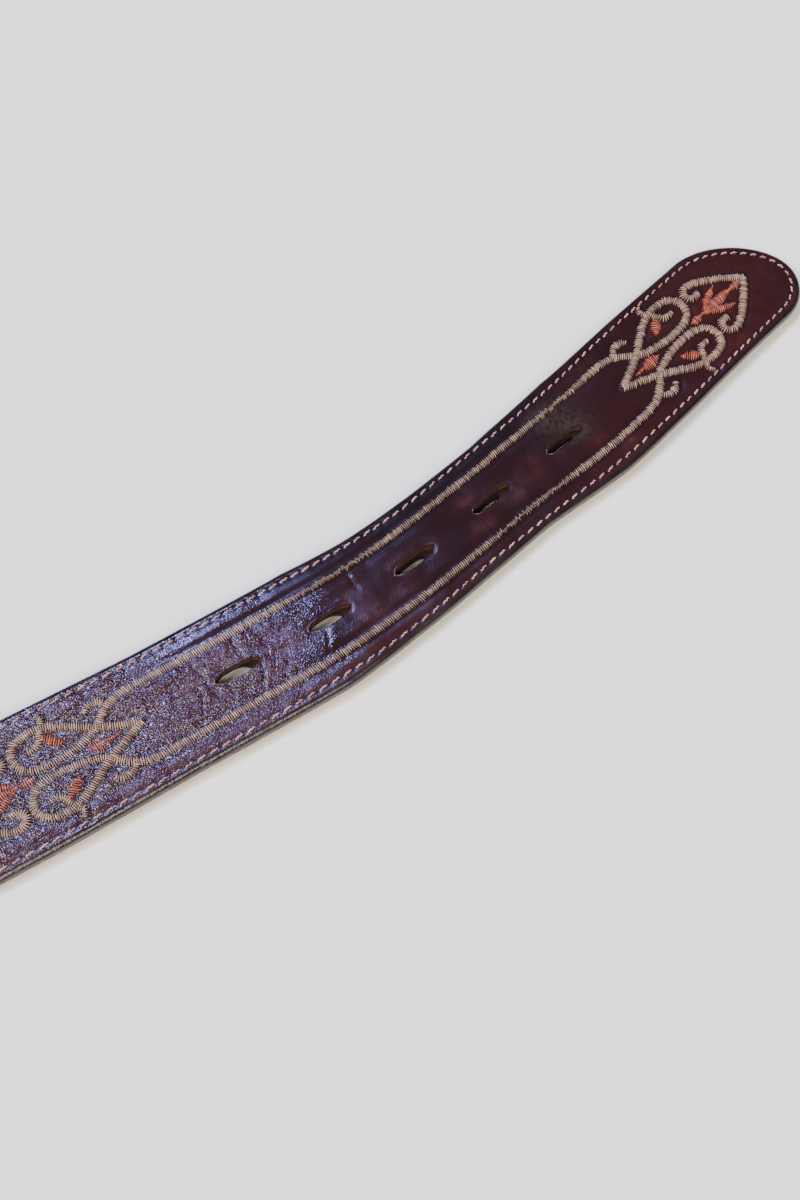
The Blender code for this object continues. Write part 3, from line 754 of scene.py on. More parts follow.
class Nodes:
    """A short way to write a material's node tree."""

    def __init__(self, name):
        self.material = bpy.data.materials.new(name)
        self.material.use_nodes = True
        self.tree = self.material.node_tree
        self.shader = self.tree.nodes["Principled BSDF"]

    def add(self, kind, settings=None, **inputs):
        node = self.tree.nodes.new(kind)
        for key, value in (settings or {}).items():
            setattr(node, key, value)
        for key, value in inputs.items():
            socket = {"first": 0, "second": 1}.get(key, key)
            self.feed(node.inputs[socket], value)
        return node

    def feed(self, socket, value):
        if isinstance(value, bpy.types.NodeSocket):
            self.tree.links.new(value, socket)
        else:
            socket.default_value = value

    def attribute(self, name, output="Fac"):
        return self.add("ShaderNodeAttribute", {"attribute_name": name}).outputs[output]

    def noise(self, vector, scale, detail, roughness):
        kind = "ShaderNodeTexNoise"
        return self.add(kind, Vector=vector, Scale=scale, Detail=detail, Roughness=roughness).outputs["Fac"]

    def cells(self, vector, scale):
        node = self.add("ShaderNodeTexVoronoi", {"feature": "DISTANCE_TO_EDGE"}, Vector=vector, Scale=scale)
        return node.outputs["Distance"]

    def ramp(self, value, low, high, to_low=0.0, to_high=1.0):
        node = self.add("ShaderNodeMapRange", {"interpolation_type": "SMOOTHSTEP"}, Value=value)
        for key, number in zip(("From Min", "From Max", "To Min", "To Max"), (low, high, to_low, to_high)):
            node.inputs[key].default_value = number
        return node.outputs["Result"]

    def math(self, operation, a, b):
        return self.add("ShaderNodeMath", {"operation": operation}, first=a, second=b).outputs[0]

    def weighted(self, *parts):
        """The sum of values, each times its share."""
        products = [self.math("MULTIPLY", value, share) for value, share in parts]
        total = products[0]
        for product in products[1:]:
            total = self.math("ADD", total, product)
        return total

    def mix(self, share, a, b):
        node = self.add("ShaderNodeMix", {"data_type": "RGBA"})
        self.feed(node.inputs[0], share)
        for socket, colour in ((node.inputs[6], a), (node.inputs[7], b)):
            self.feed(socket, (*colour, 1) if isinstance(colour, tuple) and len(colour) == 3 else colour)
        return node.outputs[2]

    def bump(self, height, distance, strength=1.0, before=None):
        node = self.add("ShaderNodeBump", Strength=strength, Distance=distance, Height=height)
        if before is not None:
            self.tree.links.new(before, node.inputs["Normal"])
        return node.outputs["Normal"]

    def finish(self, **inputs):
        for key, value in inputs.items():
            if isinstance(value, tuple) and len(value) == 3:
                value = (*value, 1)
            self.feed(self.shader.inputs[key.replace("_", " ")], value)
        return self.material


def face_leather():
    """Dark burgundy leather, glossy and finely pebbled, worn to russet in places."""
    n = Nodes("face_leather")
    belt = n.attribute("belt", "Vector")
    worn, dark, grainy, matte = (n.attribute(name) for name in ("worn", "dark", "grainy", "matte"))
    dusty = n.math("MULTIPLY", n.attribute("dusty"), n.ramp(n.noise(belt, 900, 4, 0.7), 0.25, 0.75))

    # Colour: blotched burgundy, redder where it is grainy, then russet wear, then the dark mask (edge
    # paint, with painted shade in holes, creases and beside the embroidery), then grime
    blotches = n.ramp(n.noise(belt, 45, 2, 0.45), 0.2, 0.8)
    base = n.mix(blotches, (0.0105, 0.0036, 0.0048), (0.0205, 0.0050, 0.0062))
    base = n.mix(n.weighted((grainy, 0.5), (matte, 0.3)), base, (0.040, 0.0088, 0.0082))
    patches = n.ramp(n.noise(belt, 380, 4, 0.6), 0.28, 0.74)
    rubbed = n.math("MULTIPLY", worn, n.math("ADD", n.math("MULTIPLY", patches, 0.75), 0.25))
    russet = n.mix(rubbed, base, (0.058, 0.0115, 0.0070))
    # edge paint and painted shade: the dark attribute darkens towards near-black
    blackened_and_shaded = n.mix(n.math("MULTIPLY", dark, 0.9), russet, (0.0045, 0.0040, 0.0058))
    colour = n.mix(dusty, blackened_and_shaded, (0.031, 0.0225, 0.0150))

    # Relief, from the pebbled grain to broad folds
    pebble = n.bump(n.ramp(n.cells(belt, 1750), 0.0, 0.4), 0.00008, grainy)
    grain = n.bump(n.noise(belt, 2600, 3, 0.6), 0.00003, 0.5, pebble)
    wrinkled = n.bump(n.noise(belt, 480, 3, 0.6), 0.00024, grainy, grain)
    lengthwise = n.add("ShaderNodeMapping", Vector=belt)
    lengthwise.inputs["Scale"].default_value = (0.22, 1, 1)
    folded = n.bump(n.noise(lengthwise.outputs[0], 230, 2, 0.5), 0.0008, grainy, wrinkled)
    normal = n.bump(n.noise(belt, 110, 2, 0.5), 0.0009, grainy, folded)

    # Gloss: smudged, and dull where the leather is worn or grimy
    smudges = n.ramp(n.noise(belt, 160, 3, 0.55), 0.25, 0.75, 0.12, 0.24)
    dull = n.weighted((rubbed, 0.6), (dusty, 0.3), (matte, 0.25))
    roughness = n.math("ADD", smudges, n.math("MULTIPLY", dull, 0.3))
    return n.finish(Base_Color=colour, Roughness=roughness, Normal=normal, Specular_IOR_Level=0.5)


def plain_leather(name, low, high, roughness, scale):
    """Unfinished leather, mottled between two colours."""
    n = Nodes(name)
    belt = n.attribute("belt", "Vector")
    colour = n.mix(n.ramp(n.noise(belt, scale, 4, 0.6), 0.35, 0.65), low, high)
    normal = n.bump(n.noise(belt, scale * 5, 4, 0.7), 0.0003, 0.5)
    return n.finish(Base_Color=colour, Roughness=roughness, Normal=normal)


def thread(name, dark, light, roughness=0.5):
    """Twisted embroidery thread, each strand a little different."""
    n = Nodes(name)
    at = n.add("ShaderNodeTexCoord").outputs["Object"]
    fibre = n.noise(at, 3500, 3, 0.6)
    shade = n.weighted((n.attribute("shade"), 0.5), (fibre, 0.5))
    colour = n.mix(n.ramp(shade, 0.1, 0.9), dark, light)
    normal = n.bump(fibre, 0.0001, 0.6)
    material = n.finish(Base_Color=colour, Roughness=roughness, Normal=normal)
    n.shader.inputs["Sheen Weight"].default_value = 0.08
    return material


def metal(name, clean, tarnished, roughness):
    """Old plated metal: tarnish in patches, fine scratches and small dents."""
    n = Nodes(name)
    at = n.add("ShaderNodeTexCoord").outputs["Object"]
    patches = n.ramp(n.noise(at, 260, 5, 0.65), 0.42, 0.72)
    colour = n.mix(patches, clean, tarnished)
    stretched = n.add("ShaderNodeMapping", Vector=at)
    stretched.inputs["Scale"].default_value = (1, 0.08, 1)
    scratches = n.noise(stretched.outputs[0], 5200, 2, 0.5)
    dents = n.bump(n.noise(at, 420, 2, 0.5), 0.00015, 0.4)
    normal = n.bump(scratches, 0.00003, 0.5, dents)
    scratched = n.ramp(scratches, 0.3, 0.7, roughness, roughness + 0.12)
    rough = n.math("ADD", n.math("MULTIPLY", patches, 0.22), scratched)
    n.shader.inputs["Metallic"].default_value = 1.0
    return n.finish(Base_Color=colour, Roughness=rough, Normal=normal)


# ---------------------------------------------------------------- pieces of the strap

def stand_for(pieces, *stems):
    """Each chunk replaces the CAD lengths that it covers: the first chunk takes two."""
    for chunk, piece in enumerate(pieces):
        numbers = (1, 2) if chunk == 0 else (chunk + 2,)
        nodes = [f"{stem}_{number}" for stem in stems for number in numbers]
        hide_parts(*nodes)


def strap_piece(name, parts, materials, material_of_kind, extra=None):
    """A layer's chunks. material_of_kind gives the material's place in the list for each kind of face."""
    sv = parts["sv"]
    belt = np.stack([sv[:, 0], sv[:, 1], parts["vertices"][:, 2]], 1)
    attributes = {"belt": belt, **(extra or {})}
    face_material = np.array(material_of_kind)[parts["kinds"]]
    return split_into_chunks(name, parts["vertices"], parts["faces"], parts["station"], attributes,
                             materials, face_material)


def build_face(leather, raw):
    """The glossy face leather, with dents by the embroidery and pricks at the stitch holes."""
    hole_tree = near_points(STITCH_HOLES)
    satin_tree = near_points(satin_cores())
    shared = {}

    def top(s, v, distance):
        to_satin = distances_to(satin_tree, s, v, 6 * MM)
        to_hole = distances_to(hole_tree, s, v, 4 * MM)
        shared["satin"], shared["hole"], shared["top_count"] = to_satin, to_hole, len(s)
        dents = -0.20 * MM * bell(to_satin - 1.5 * MM, 0.8 * MM)
        pricks = -0.18 * MM * bell(to_hole, 0.42 * MM)
        return face_height(s, v, distance) + dents + pricks

    def bottom(s, v, distance):
        return SEAM_HEIGHT + 0.8 * MM * smoothstep(1 * MM, 3 * MM, distance)

    parts = shell(STRAP_START, 0.5 * MM, 1 * MM, 65, 1.55 * MM, top, bottom, FACE_EDGE)
    make_room_for_keeper(parts)
    count, total = shared["top_count"], len(parts["vertices"])
    s, v, distance = parts["sv"][:, 0], parts["sv"][:, 1], parts["distance"]
    hole = np.full(total, 4 * MM)
    satin = np.full(total, 6 * MM)
    hole[:count], satin[:count] = shared["hole"], shared["satin"]
    right_edge = smoothstep(-10 * MM, -14 * MM, v)
    left_edge = smoothstep(8.5 * MM, 10.5 * MM, v) * smoothstep(215 * MM, 185 * MM, STRAP_LENGTH - s)
    creased = 0.12 + 0.88 * smoothstep(148 * MM, 182 * MM, STRAP_LENGTH - s)
    extra = {
        # dark: edge paint, darkening by the slots and painted shade
        "worn": worn_mask(s, v, distance), "dark": dark_mask(s, v, distance, hole, satin),
        "grainy": creased * (1 - 0.5 * right_edge) * (1 - 0.75 * left_edge),
        "dusty": dusty_mask(s, v), "matte": right_edge,
    }
    pieces = strap_piece("face_leather", parts, [leather, raw], (0, 0, 1, 1), extra)
    stand_for(pieces, "face")


def make_room_for_keeper(parts):
    """The face's edge lifts off the lining where the keeper's ends go in between."""
    s, z = parts["sv"][:, 0], parts["vertices"][:, 2]
    covered = smoothstep(KEEPER_START - 1.5 * MM, KEEPER_START - 0.3 * MM, s)
    covered *= smoothstep(KEEPER_END + 1.5 * MM, KEEPER_END + 0.3 * MM, s)
    parts["vertices"][:, 2] = np.maximum(z, covered * 2.12 * MM)


SCUFFS = (                       # distance from the tip, lateral place, reach along and across, strength
    (20, -1, 34, 17, 0.35), (112, -4, 4, 2.5, 0.85), (111, 3.5, 3.5, 2, 0.7), (100, -3.5, 3, 2, 0.6),
    (136, -4.5, 5, 2.5, 0.55), (134, 3, 3, 1.5, 0.5), (146, -5, 6, 3, 0.4), (165, 0, 4, 3, 0.45),
    (183, 4.5, 5, 2.5, 0.6), (192, 2, 4, 2, 0.6), (186, -4, 3, 1.5, 0.5), (74, -6, 3, 1.5, 0.6),
    (70, -11, 2.5, 1.5, 0.7), (173, -5, 4, 2, 0.45), (150, -12.5, 40, 2.2, 0.40), (205, -12, 12, 2, 0.2),
)


def worn_mask(s, v, distance):
    """Where the finish has rubbed through to russet: the slots' rims, scuffs and scattered patches."""
    rim = slot_distance(s, v)
    near_slot = 0.35 * bell(rim, 2.2 * MM) * smoothstep(-0.3, 0.6, soft_noise(s, v, 2.5 * MM, 22))
    worn = np.maximum(0.5 * bell(rim, 0.22 * MM), near_slot)
    for from_tip, middle, length, width, strength in SCUFFS:
        x, y = (s - STRAP_LENGTH + from_tip * MM) / (length * MM), (v - middle * MM) / (width * MM)
        worn = np.maximum(worn, strength * np.exp(-x ** 2 - y ** 2))
    scattered = 0.30 * smoothstep(0.45, 0.9, soft_noise(s, v, 11 * MM, 21))
    return np.clip(worn + scattered * smoothstep(2.5 * MM, 4 * MM, distance), 0, 1)


def dark_mask(s, v, distance, hole, satin):
    """Edge paint and darkening by the slots, with painted shade in holes and creases and beside the
    embroidery.
    """
    from_tip = STRAP_LENGTH - s
    burnished = smoothstep(1.4 * MM, 0.6 * MM, distance)
    # painted shade in the stitch holes
    hole_shade = bell(hole, 0.55 * MM)
    # painted shade where the leather dips beside the embroidery
    beside = 0.6 * bell(satin - 1.35 * MM, 0.4 * MM)
    # painted shade in the creases' hollows
    folded = np.clip(-creases(s, v) / (0.2 * MM), 0, 1) * 0.7
    buckled = 0.6 * bell(from_tip - 82 * MM, 9 * MM) * smoothstep(-9 * MM, 2 * MM, v)
    lips = 0.4 * bell(slot_distance(s, v) - 0.6 * MM, 0.35 * MM)
    # darker over the slots' stretch, with more painted shade along the upper side
    shaded = (0.3 + 0.35 * smoothstep(7.5 * MM, 10.5 * MM, v)) * darkened_by_slots(s)
    return np.clip(np.maximum.reduce([burnished, hole_shade, beside, folded, buckled, lips, shaded]), 0, 1)


def dusty_mask(s, v):
    """Grime rubbed in beside the first slot, where the buckle sat longest."""
    from_tip = STRAP_LENGTH - s
    across = smoothstep(-6 * MM, 0, v) * smoothstep(13 * MM, 10 * MM, v)
    return bell(from_tip - 77 * MM - 0.35 * v, 5.5 * MM) * across


def flat_at(height):
    """A flat top or bottom for a shell."""
    def surface(s, v, distance):
        return np.full(len(s), height)
    return surface


def build_filler(material):
    """The strip between the two leathers."""
    top, bottom = flat_at(2.25 * MM), flat_at(1.6 * MM)
    parts = shell(40 * MM, 2 * MM, 4 * MM, 17, 3.2 * MM, top, bottom, FILLER_EDGE, FILLER_SLITS)
    stand_for(strap_piece("filler", parts, [material], (0, 0, 0, 0)), "filler")


def build_lining(material, edge_material, inner):
    """The lining, with a groove for its stitching. Its upper side and slot walls are near black, as painted
    shade seen in the slots.
    """
    def bottom(s, v, distance):
        nap = 0.05 * MM * soft_noise(s, v, 8 * MM, 41)
        groove = 0.30 * MM * bell(distance - STITCH_INSET, 0.5 * MM)
        return np.maximum(nap, 0) + groove

    parts = shell(STRAP_START, 1 * MM, 2 * MM, 33, 0.9 * MM, flat_at(1.46 * MM), bottom, LINING_EDGE,
                  LINING_SLITS, LINING_SLIT_SHIFT)
    materials = [material, edge_material, inner]
    stand_for(strap_piece("lining_leather", parts, materials, (2, 1, 2, 0)), "lining")


# ---------------------------------------------------------------- stitching and embroidery

def build_embroidery(tan, orange):
    """The satin stitch of every motif, each half the other's mirror image."""
    rng = np.random.RandomState(7)
    tans, oranges = [], []
    for point_of_v, towards_tip in motif_places():
        for side in (tuple, mirror):
            for path, widths, lift in SATIN_PATHS:
                tans.append(satin_column(side(path), widths, point_of_v, towards_tip, lift, rng))
        for line in border_lines():
            tans.append(satin_column(line, (BORDER_SATIN,), point_of_v, towards_tip, 0.36, rng))
        for base, tip, half in LEAVES:
            widths = 2 * half * np.sin(np.linspace(0.1, math.pi - 0.1, 9)) ** 0.8
            middle = tuple((np.array(base) + np.array(tip)) / 2)
            oranges.append(satin_column((base, middle, tip), widths, point_of_v, towards_tip, 0.42, rng))
    stand_for(add_threads("satin_scrolls", join_arcs(tans), tan), "scroll", "ogive")
    stand_for(add_threads("satin_petals", join_arcs(oranges), orange), "petals")


def twisted_stitches(starts, ends, height, rise, rng):
    """Two-ply stitches between plan points. They start and end at the height and rise in between."""
    count, turns, rings, sides = len(starts), 2.2, 13, 5
    helix, ply = 0.14 * MM, 0.175 * MM
    t = np.linspace(0, 1, rings)
    sideways = left_of(unit(ends - starts))
    centre = starts[:, None] + (ends - starts)[:, None] * t[None, :, None]
    middle_height = height + rise * (1 - np.abs(2 * t - 1) ** 4)
    squeeze = 0.45 + 0.55 * np.sin(math.pi * t) ** 0.35
    vertices = np.empty((2, count, rings, sides, 3))
    for number in range(2):
        turn = number * math.pi + turns * 2 * math.pi * t[None] + rng.uniform(0, 2 * math.pi, (count, 1))
        for corner in range(sides):
            angle = corner / sides * 2 * math.pi
            out = (helix * np.cos(turn) + ply * math.cos(angle)) * squeeze
            up = (helix * np.sin(turn) + ply * math.sin(angle)) * squeeze
            vertices[number, :, :, corner, :2] = centre + sideways[:, None] * out[..., None]
            vertices[number, :, :, corner, 2] = middle_height + up
    return vertices.reshape(-1, rings, sides, 3), rng.uniform(0, 1, 2 * count)


def build_edge_stitching(material):
    """A stitch between every two holes, each a little slanted, on the face and on the lining."""
    rng = np.random.RandomState(11)
    a, b = STITCH_HOLES[:-1], STITCH_HOLES[1:]
    along = unit(b - a)
    across = left_of(along)
    slant = rng.normal(0.16 * MM, 0.03 * MM, (len(a), 1))
    start = a + along * 0.35 * MM - across * slant
    end = b - along * 0.35 * MM + across * slant
    starts, ends = in_plan(start), in_plan(end)
    chunks = chunk_of(np.tile((a[:, 0] + b[:, 0]) / 2, 2))
    for name, height, rise in (("face_stitching", FACE_TOP - 0.51 * MM, 0.60 * MM),
                               ("lining_stitching", 0.62 * MM, -0.40 * MM)):
        vertices, shade = twisted_stitches(starts, ends, height, rise, rng)
        for chunk in range(len(HINGES)):
            mine = chunks == chunk
            points, walls, shades, index = weave_tubes(vertices[mine], shade[mine])
            piece = thread_piece(f"{name}_{chunk + 1}", points, walls, index, shades, material)
            bend_over_hinge(piece, chunk)


# ---------------------------------------------------------------- buckle end

BAR_RADIUS = 1.25 * MM
CLEARANCE = 0.3 * MM
LIMB_RADIUS = 2.4 * MM
LIMB_OFFSET = 20.5 * MM
FRAME_REACH = 34 * MM
FRAME_CORNER = 7 * MM
LUG_RADIUS = 3.7 * MM
PRONG_RADIUS = 1.2 * MM
FOLD_LEATHER = 1.5 * MM
FOLD_HALF_WIDTH = 15 * MM
PRONG_SLOT = 3 * MM              # half width of the fold's opening
KEEPER_START = 17 * MM
KEEPER_END = 27 * MM
KEEPER_TOP = 10.85 * MM
KEEPER_LEATHER = 1.5 * MM


def local(x, y, z):
    """World coordinates of points given from the bar's middle in plan, with z from the floor."""
    x, y, z = np.broadcast_arrays(x, y, z)
    return np.stack([BAR.x + x, BAR.y + y, z], -1)


def outward_mesh(name, vertices, faces, attributes=None):
    """A closed mesh whose faces all look outwards."""
    piece = make_mesh(name, vertices, faces, attributes)
    shape = bmesh.new()
    shape.from_mesh(piece.data)
    bmesh.ops.recalc_face_normals(shape, faces=shape.faces)
    shape.to_mesh(piece.data)
    shape.free()
    return piece


def rings_to_mesh(name, rings, closed=False):
    """Skin a stack of rings: (rings, points, 3). A closed stack joins its last ring to its first."""
    count, points, _ = rings.shape
    index = np.arange(count * points).reshape(count, points)
    a, b = (index, np.roll(index, -1, 0)) if closed else (index[:-1], index[1:])
    walls = np.stack([a, np.roll(a, -1, 1), np.roll(b, -1, 1), b], -1).reshape(-1, 4).tolist()
    caps = [] if closed else [index[0].tolist(), index[-1].tolist()]
    return outward_mesh(name, rings.reshape(-1, 3), walls + caps)


def sweep(name, path, side, widths, heights, sides=20):
    """A rod along a flat path. side is square to the path's plane, and the widths lie along it."""
    side = np.array(side, float)
    up = np.cross(unit(np.gradient(path, axis=0)), side)
    angles = np.linspace(0, 2 * math.pi, sides, endpoint=False)
    across = side * (np.cos(angles)[None, :, None] * np.reshape(widths, (-1, 1, 1)))
    above = up[:, None] * (np.sin(angles)[None, :, None] * np.reshape(heights, (-1, 1, 1)))
    return rings_to_mesh(name, path[:, None] + across + above)


def lathe(name, profile, middle_y, closed, sides=40):
    """A turned shape round the bar's axis. The profile lists (radius, distance from its middle), in mm."""
    angles = np.linspace(0, 2 * math.pi, sides, endpoint=False)
    radius, y = np.array(profile).T * MM
    x, z = np.outer(radius, np.cos(angles)), np.outer(radius, np.sin(angles))
    return rings_to_mesh(name, local(x, middle_y + y[:, None], BAR.z + z), closed)


def finish_piece(piece, material, slot, body, *nodes):
    """Give a stiff piece its material and body, and hide the CAD nodes that it replaces. slot is not used.
    """
    piece.data.materials.append(material)
    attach(piece, body)
    if nodes:
        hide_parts(*nodes)


def build_frame(brass):
    """The brass frame: a limb on each side, rounded front corners, a groove where the prong rests."""
    corner = np.linspace(0, math.pi / 2, 12)
    corner_x = -FRAME_REACH + FRAME_CORNER * (1 - np.sin(corner))
    corner_y = LIMB_OFFSET - FRAME_CORNER * (1 - np.cos(corner))
    x = np.concatenate([np.linspace(0, corner_x[0], 14)[:-1], corner_x])
    y = np.concatenate([np.full(13, LIMB_OFFSET), corner_y])
    front = np.linspace(y[-1], -y[-1], 41)[1:-1]
    x, y = np.concatenate([x, np.full(39, -FRAME_REACH), x[::-1]]), np.concatenate([y, front, -y[::-1]])
    groove = 0.14 * bell(y, 1.9 * MM) * (x < -FRAME_REACH + 1 * MM)
    swell = 0.05 * np.sin(math.pi * np.clip(-x / FRAME_REACH, 0, 1))
    size = LIMB_RADIUS * (0.97 + swell - groove)
    limbs = sweep("buckle_frame", local(x, y, BAR.z), (0, 0, 1), size, size * 0.96, 28)
    finish_piece(limbs, brass, "brass", "buckle", "buckle_frame")
    rim = LUG_RADIUS / MM
    profile = (
        (1.56, -2.45), (rim - 0.5, -2.45), (rim - 0.15, -2.3), (rim, -1.95), (rim, -1.2), (rim - 0.3, -1.0),
        (rim - 0.3, -0.8), (rim, -0.6), (rim, 0.6), (rim - 0.3, 0.8), (rim - 0.3, 1.0), (rim, 1.2),
        (rim, 1.95), (rim - 0.15, 2.3), (rim - 0.5, 2.45), (1.56, 2.45),
    )
    for name, side in (("left", 1), ("right", -1)):
        finish_piece(lathe(f"lug_{name}", profile, side * LIMB_OFFSET, True), brass, "brass", "buckle")


def build_bar(steel):
    """A steel pin with domed, riveted ends."""
    dome = [(0.12, -23.0), (0.7, -22.93), (1.1, -22.7), (1.25, -22.3)]
    profile = dome + [(1.25, -12.0), (1.25, 12.0)] + [(radius, -y) for radius, y in reversed(dome)]
    finish_piece(lathe("buckle_bar", profile, 0, False, 24), steel, "plated_steel", "buckle", "buckle_bar")


def build_prong(steel):
    """A prong hooked round the bar. It flattens towards a blunt, rounded point."""
    hook = BAR_RADIUS + CLEARANCE + PRONG_RADIUS
    rest = BAR.z + LIMB_RADIUS + CLEARANCE + PRONG_RADIUS
    angles = np.radians(np.linspace(-150, 90, 25))
    end = -FRAME_REACH - LIMB_RADIUS - 1 * MM
    shank_x = np.linspace(0, end, 34)[1:]
    shank_z = np.interp(-shank_x, (0, -end * 0.92, -end), (BAR.z + hook, rest, rest - 0.05 * MM))
    x = np.concatenate([hook * np.cos(angles), shank_x])
    z = np.concatenate([BAR.z + hook * np.sin(angles), shank_z])
    along = np.linspace(0, 1, len(x))
    taper = np.interp(along, (0, 0.04, 0.35, 0.6, 0.93, 0.985, 1), (0.45, 0.95, 1.0, 1.12, 0.92, 0.7, 0.25))
    flat = np.interp(along, (0, 0.04, 0.5, 0.93, 0.985, 1), (0.45, 0.95, 0.95, 0.72, 0.6, 0.25))
    prong = sweep("prong", local(x, 0, z), (0, 1, 0), PRONG_RADIUS * taper, PRONG_RADIUS * flat)
    finish_piece(prong, steel, "plated_steel", "prong", "prong")


def leather_band(name, outer, inner, levels, to_world, material, *nodes):
    """A band of leather, drawn from its side as two matched lines and carried from one level to another.

    Lines and levels are in mm. to_world turns the drawing's two directions and a level into a place.
    """
    outer, inner = np.array(outer, float), np.array(inner, float)
    inward = left_of(unit(np.gradient(outer, axis=0)))
    inward *= np.sign(np.sum(inward * (inner - outer), axis=1))[:, None]
    low, high = levels
    steps = [(low, 0.35), (low + 0.1, 0.12), (low + 0.35, 0)]
    steps += [(level, 0) for level in np.linspace(low, high, 9)[1:-1]]
    steps += [(high - 0.35, 0), (high - 0.1, 0.12), (high, 0.35)]
    rings, count = [], len(outer)
    for level, inset in steps:
        section = np.vstack([outer + inward * inset, inner[::-1]])
        rings.append(to_world(section[:, 0] * MM, section[:, 1] * MM, level * MM))
    rings = np.array(rings)
    index = np.arange(len(steps) * 2 * count).reshape(len(steps), 2 * count)
    a, b = index[:-1], index[1:]
    faces = np.stack([a, np.roll(a, -1, 1), np.roll(b, -1, 1), b], -1).reshape(-1, 4).tolist()
    for ring in (index[0], index[-1]):
        faces += [[ring[i], ring[i + 1], ring[-2 - i], ring[-1 - i]] for i in range(count - 1)]
    from_side = np.repeat([min(level - low, high - level) for level, inset in steps], 2 * count)
    attributes = {"belt": rings.reshape(-1, 3), "dark": bell(from_side, 0.5) * 0.95}
    for key, value in (("worn", 0.12), ("grainy", 0.6), ("dusty", 0.0), ("matte", 0.0)):
        attributes[key] = np.full(len(from_side), value)
    piece = outward_mesh(name, rings.reshape(-1, 3), faces, attributes)
    finish_piece(piece, material, "face_leather", "buckle_end_length", *nodes)


def arc_round_bar(radius, start, end):
    """Points round the bar's axis, seen from the side: millimetres and degrees."""
    angles = np.radians(np.linspace(start, end, 24))
    return [(radius * math.cos(angle), BAR.z / MM + radius * math.sin(angle)) for angle in angles]


def build_fold(leather):
    """The folded leather: an ear on each side of the prong's slot, and the flat part behind the slot."""
    bore = (BAR_RADIUS + CLEARANCE) / MM
    outer_radius = (BAR_RADIUS + CLEARANCE + FOLD_LEATHER) / MM
    along = (13.2, 12.0, 10.2, 8.5, 6.5, 4.5, 2.6)
    upper = list(zip(along, (3.95, 4.1, 4.35, 4.75, 5.45, 6.2, 6.8)))
    upper_inside = list(zip(along, (2.06, 2.06, 2.08, 2.12, 2.2, 2.5, 3.2)))
    lower = list(zip(along[::-1], (0.95, 0.6, 0.25, 0.05, 0.0, 0.0, 0.05)))
    lower_inside = list(zip(along[::-1], (3.0, 2.35, 2.08, 2.0, 1.98, 1.98, 1.98)))
    outer = upper + arc_round_bar(outer_radius, 72, 285) + lower
    inner = upper_inside + arc_round_bar(bore, -15, 320) + lower_inside
    half, slot = FOLD_HALF_WIDTH / MM, PRONG_SLOT / MM

    def to_world(along, up, level):
        return local(along, level, up)

    leather_band("fold_left_ear", outer, inner, (slot, half), to_world, leather, "buckle_fold")
    leather_band("fold_right_ear", outer, inner, (-half, -slot), to_world, leather)
    leather_band("fold_middle", upper[:4] + [(7.9, 4.95)], lower[:2:-1] + [(7.9, 0.1)],
                 (-slot - 0.3, slot + 0.3), to_world, leather)


def keeper_corner(side, top, radius):
    """A rounded corner, from the upright side to the top."""
    turn = np.linspace(0, math.pi / 2, 8)
    return [(side - radius * (1 - math.cos(a)), top - radius * (1 - math.sin(a))) for a in turn]


def both_sides(line):
    """A line that ends in the middle, continued by its mirror image."""
    return line + [(-y, z) for y, z in reversed(line[:-1])]


def build_keeper(leather):
    """The keeper loop, with its ends between face and lining."""
    half, top, thick = STRAP_WIDTH / 2 / MM + 0.3, KEEPER_TOP / MM, KEEPER_LEATHER / MM
    outside = half + thick
    outer = [(15.9, 1.55), (17.2, 1.55), (18.6, 1.56), (outside - 0.25, 1.7)]
    outer += [(outside, 2.3), (outside, 4.5), (outside, 6.6)] + keeper_corner(outside, top, 2.2)
    outer += [(y, top + 0.05) for y in (12, 6, 0)]
    inner = [(15.9, 2.02), (17.0, 2.05), (17.5, 2.2), (half - 0.1, 2.7)]
    inner += [(half, 3.2), (half, 4.8), (half, 6.4)] + keeper_corner(half, top - thick, 0.9)
    inner += [(y, top - thick) for y in (12, 6, 0)]

    def to_world(across, up, level):
        return local(level, across, up)

    levels = (KEEPER_START / MM, KEEPER_END / MM)
    leather_band("keeper", both_sides(outer), both_sides(inner), levels, to_world, leather, "keeper")


def build_cross_stitching(material):
    """Rows of stitches across the fold and along both edges of the keeper."""
    rng = np.random.RandomState(13)
    rows = (                     # name, place, half length, height, rise
        ("fold_stitching", 11.3 * MM, 13.5 * MM, 3.75 * MM, 0.62 * MM),
        ("fold_stitching_below", 11.3 * MM, 13.5 * MM, 0.55 * MM, -0.36 * MM),
        ("keeper_stitching_front", KEEPER_START + 1.7 * MM, 15 * MM, KEEPER_TOP - 0.40 * MM, 0.36 * MM),
        ("keeper_stitching_back", KEEPER_END - 1.7 * MM, 15 * MM, KEEPER_TOP - 0.40 * MM, 0.36 * MM),
    )
    for name, x, reach, height, rise in rows:
        y = np.arange(-reach, reach + 0.1 * MM, 3 * MM)
        starts = local(x - 0.12 * MM, y[:-1] + 0.35 * MM, 0)[:, :2]
        ends = local(x + 0.12 * MM, y[1:] - 0.35 * MM, 0)[:, :2]
        points, walls, shades, index = weave_tubes(*twisted_stitches(starts, ends, height, rise, rng))
        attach(thread_piece(name, points, walls, index, shades, material), "buckle_end_length")


# ---------------------------------------------------------------- studio

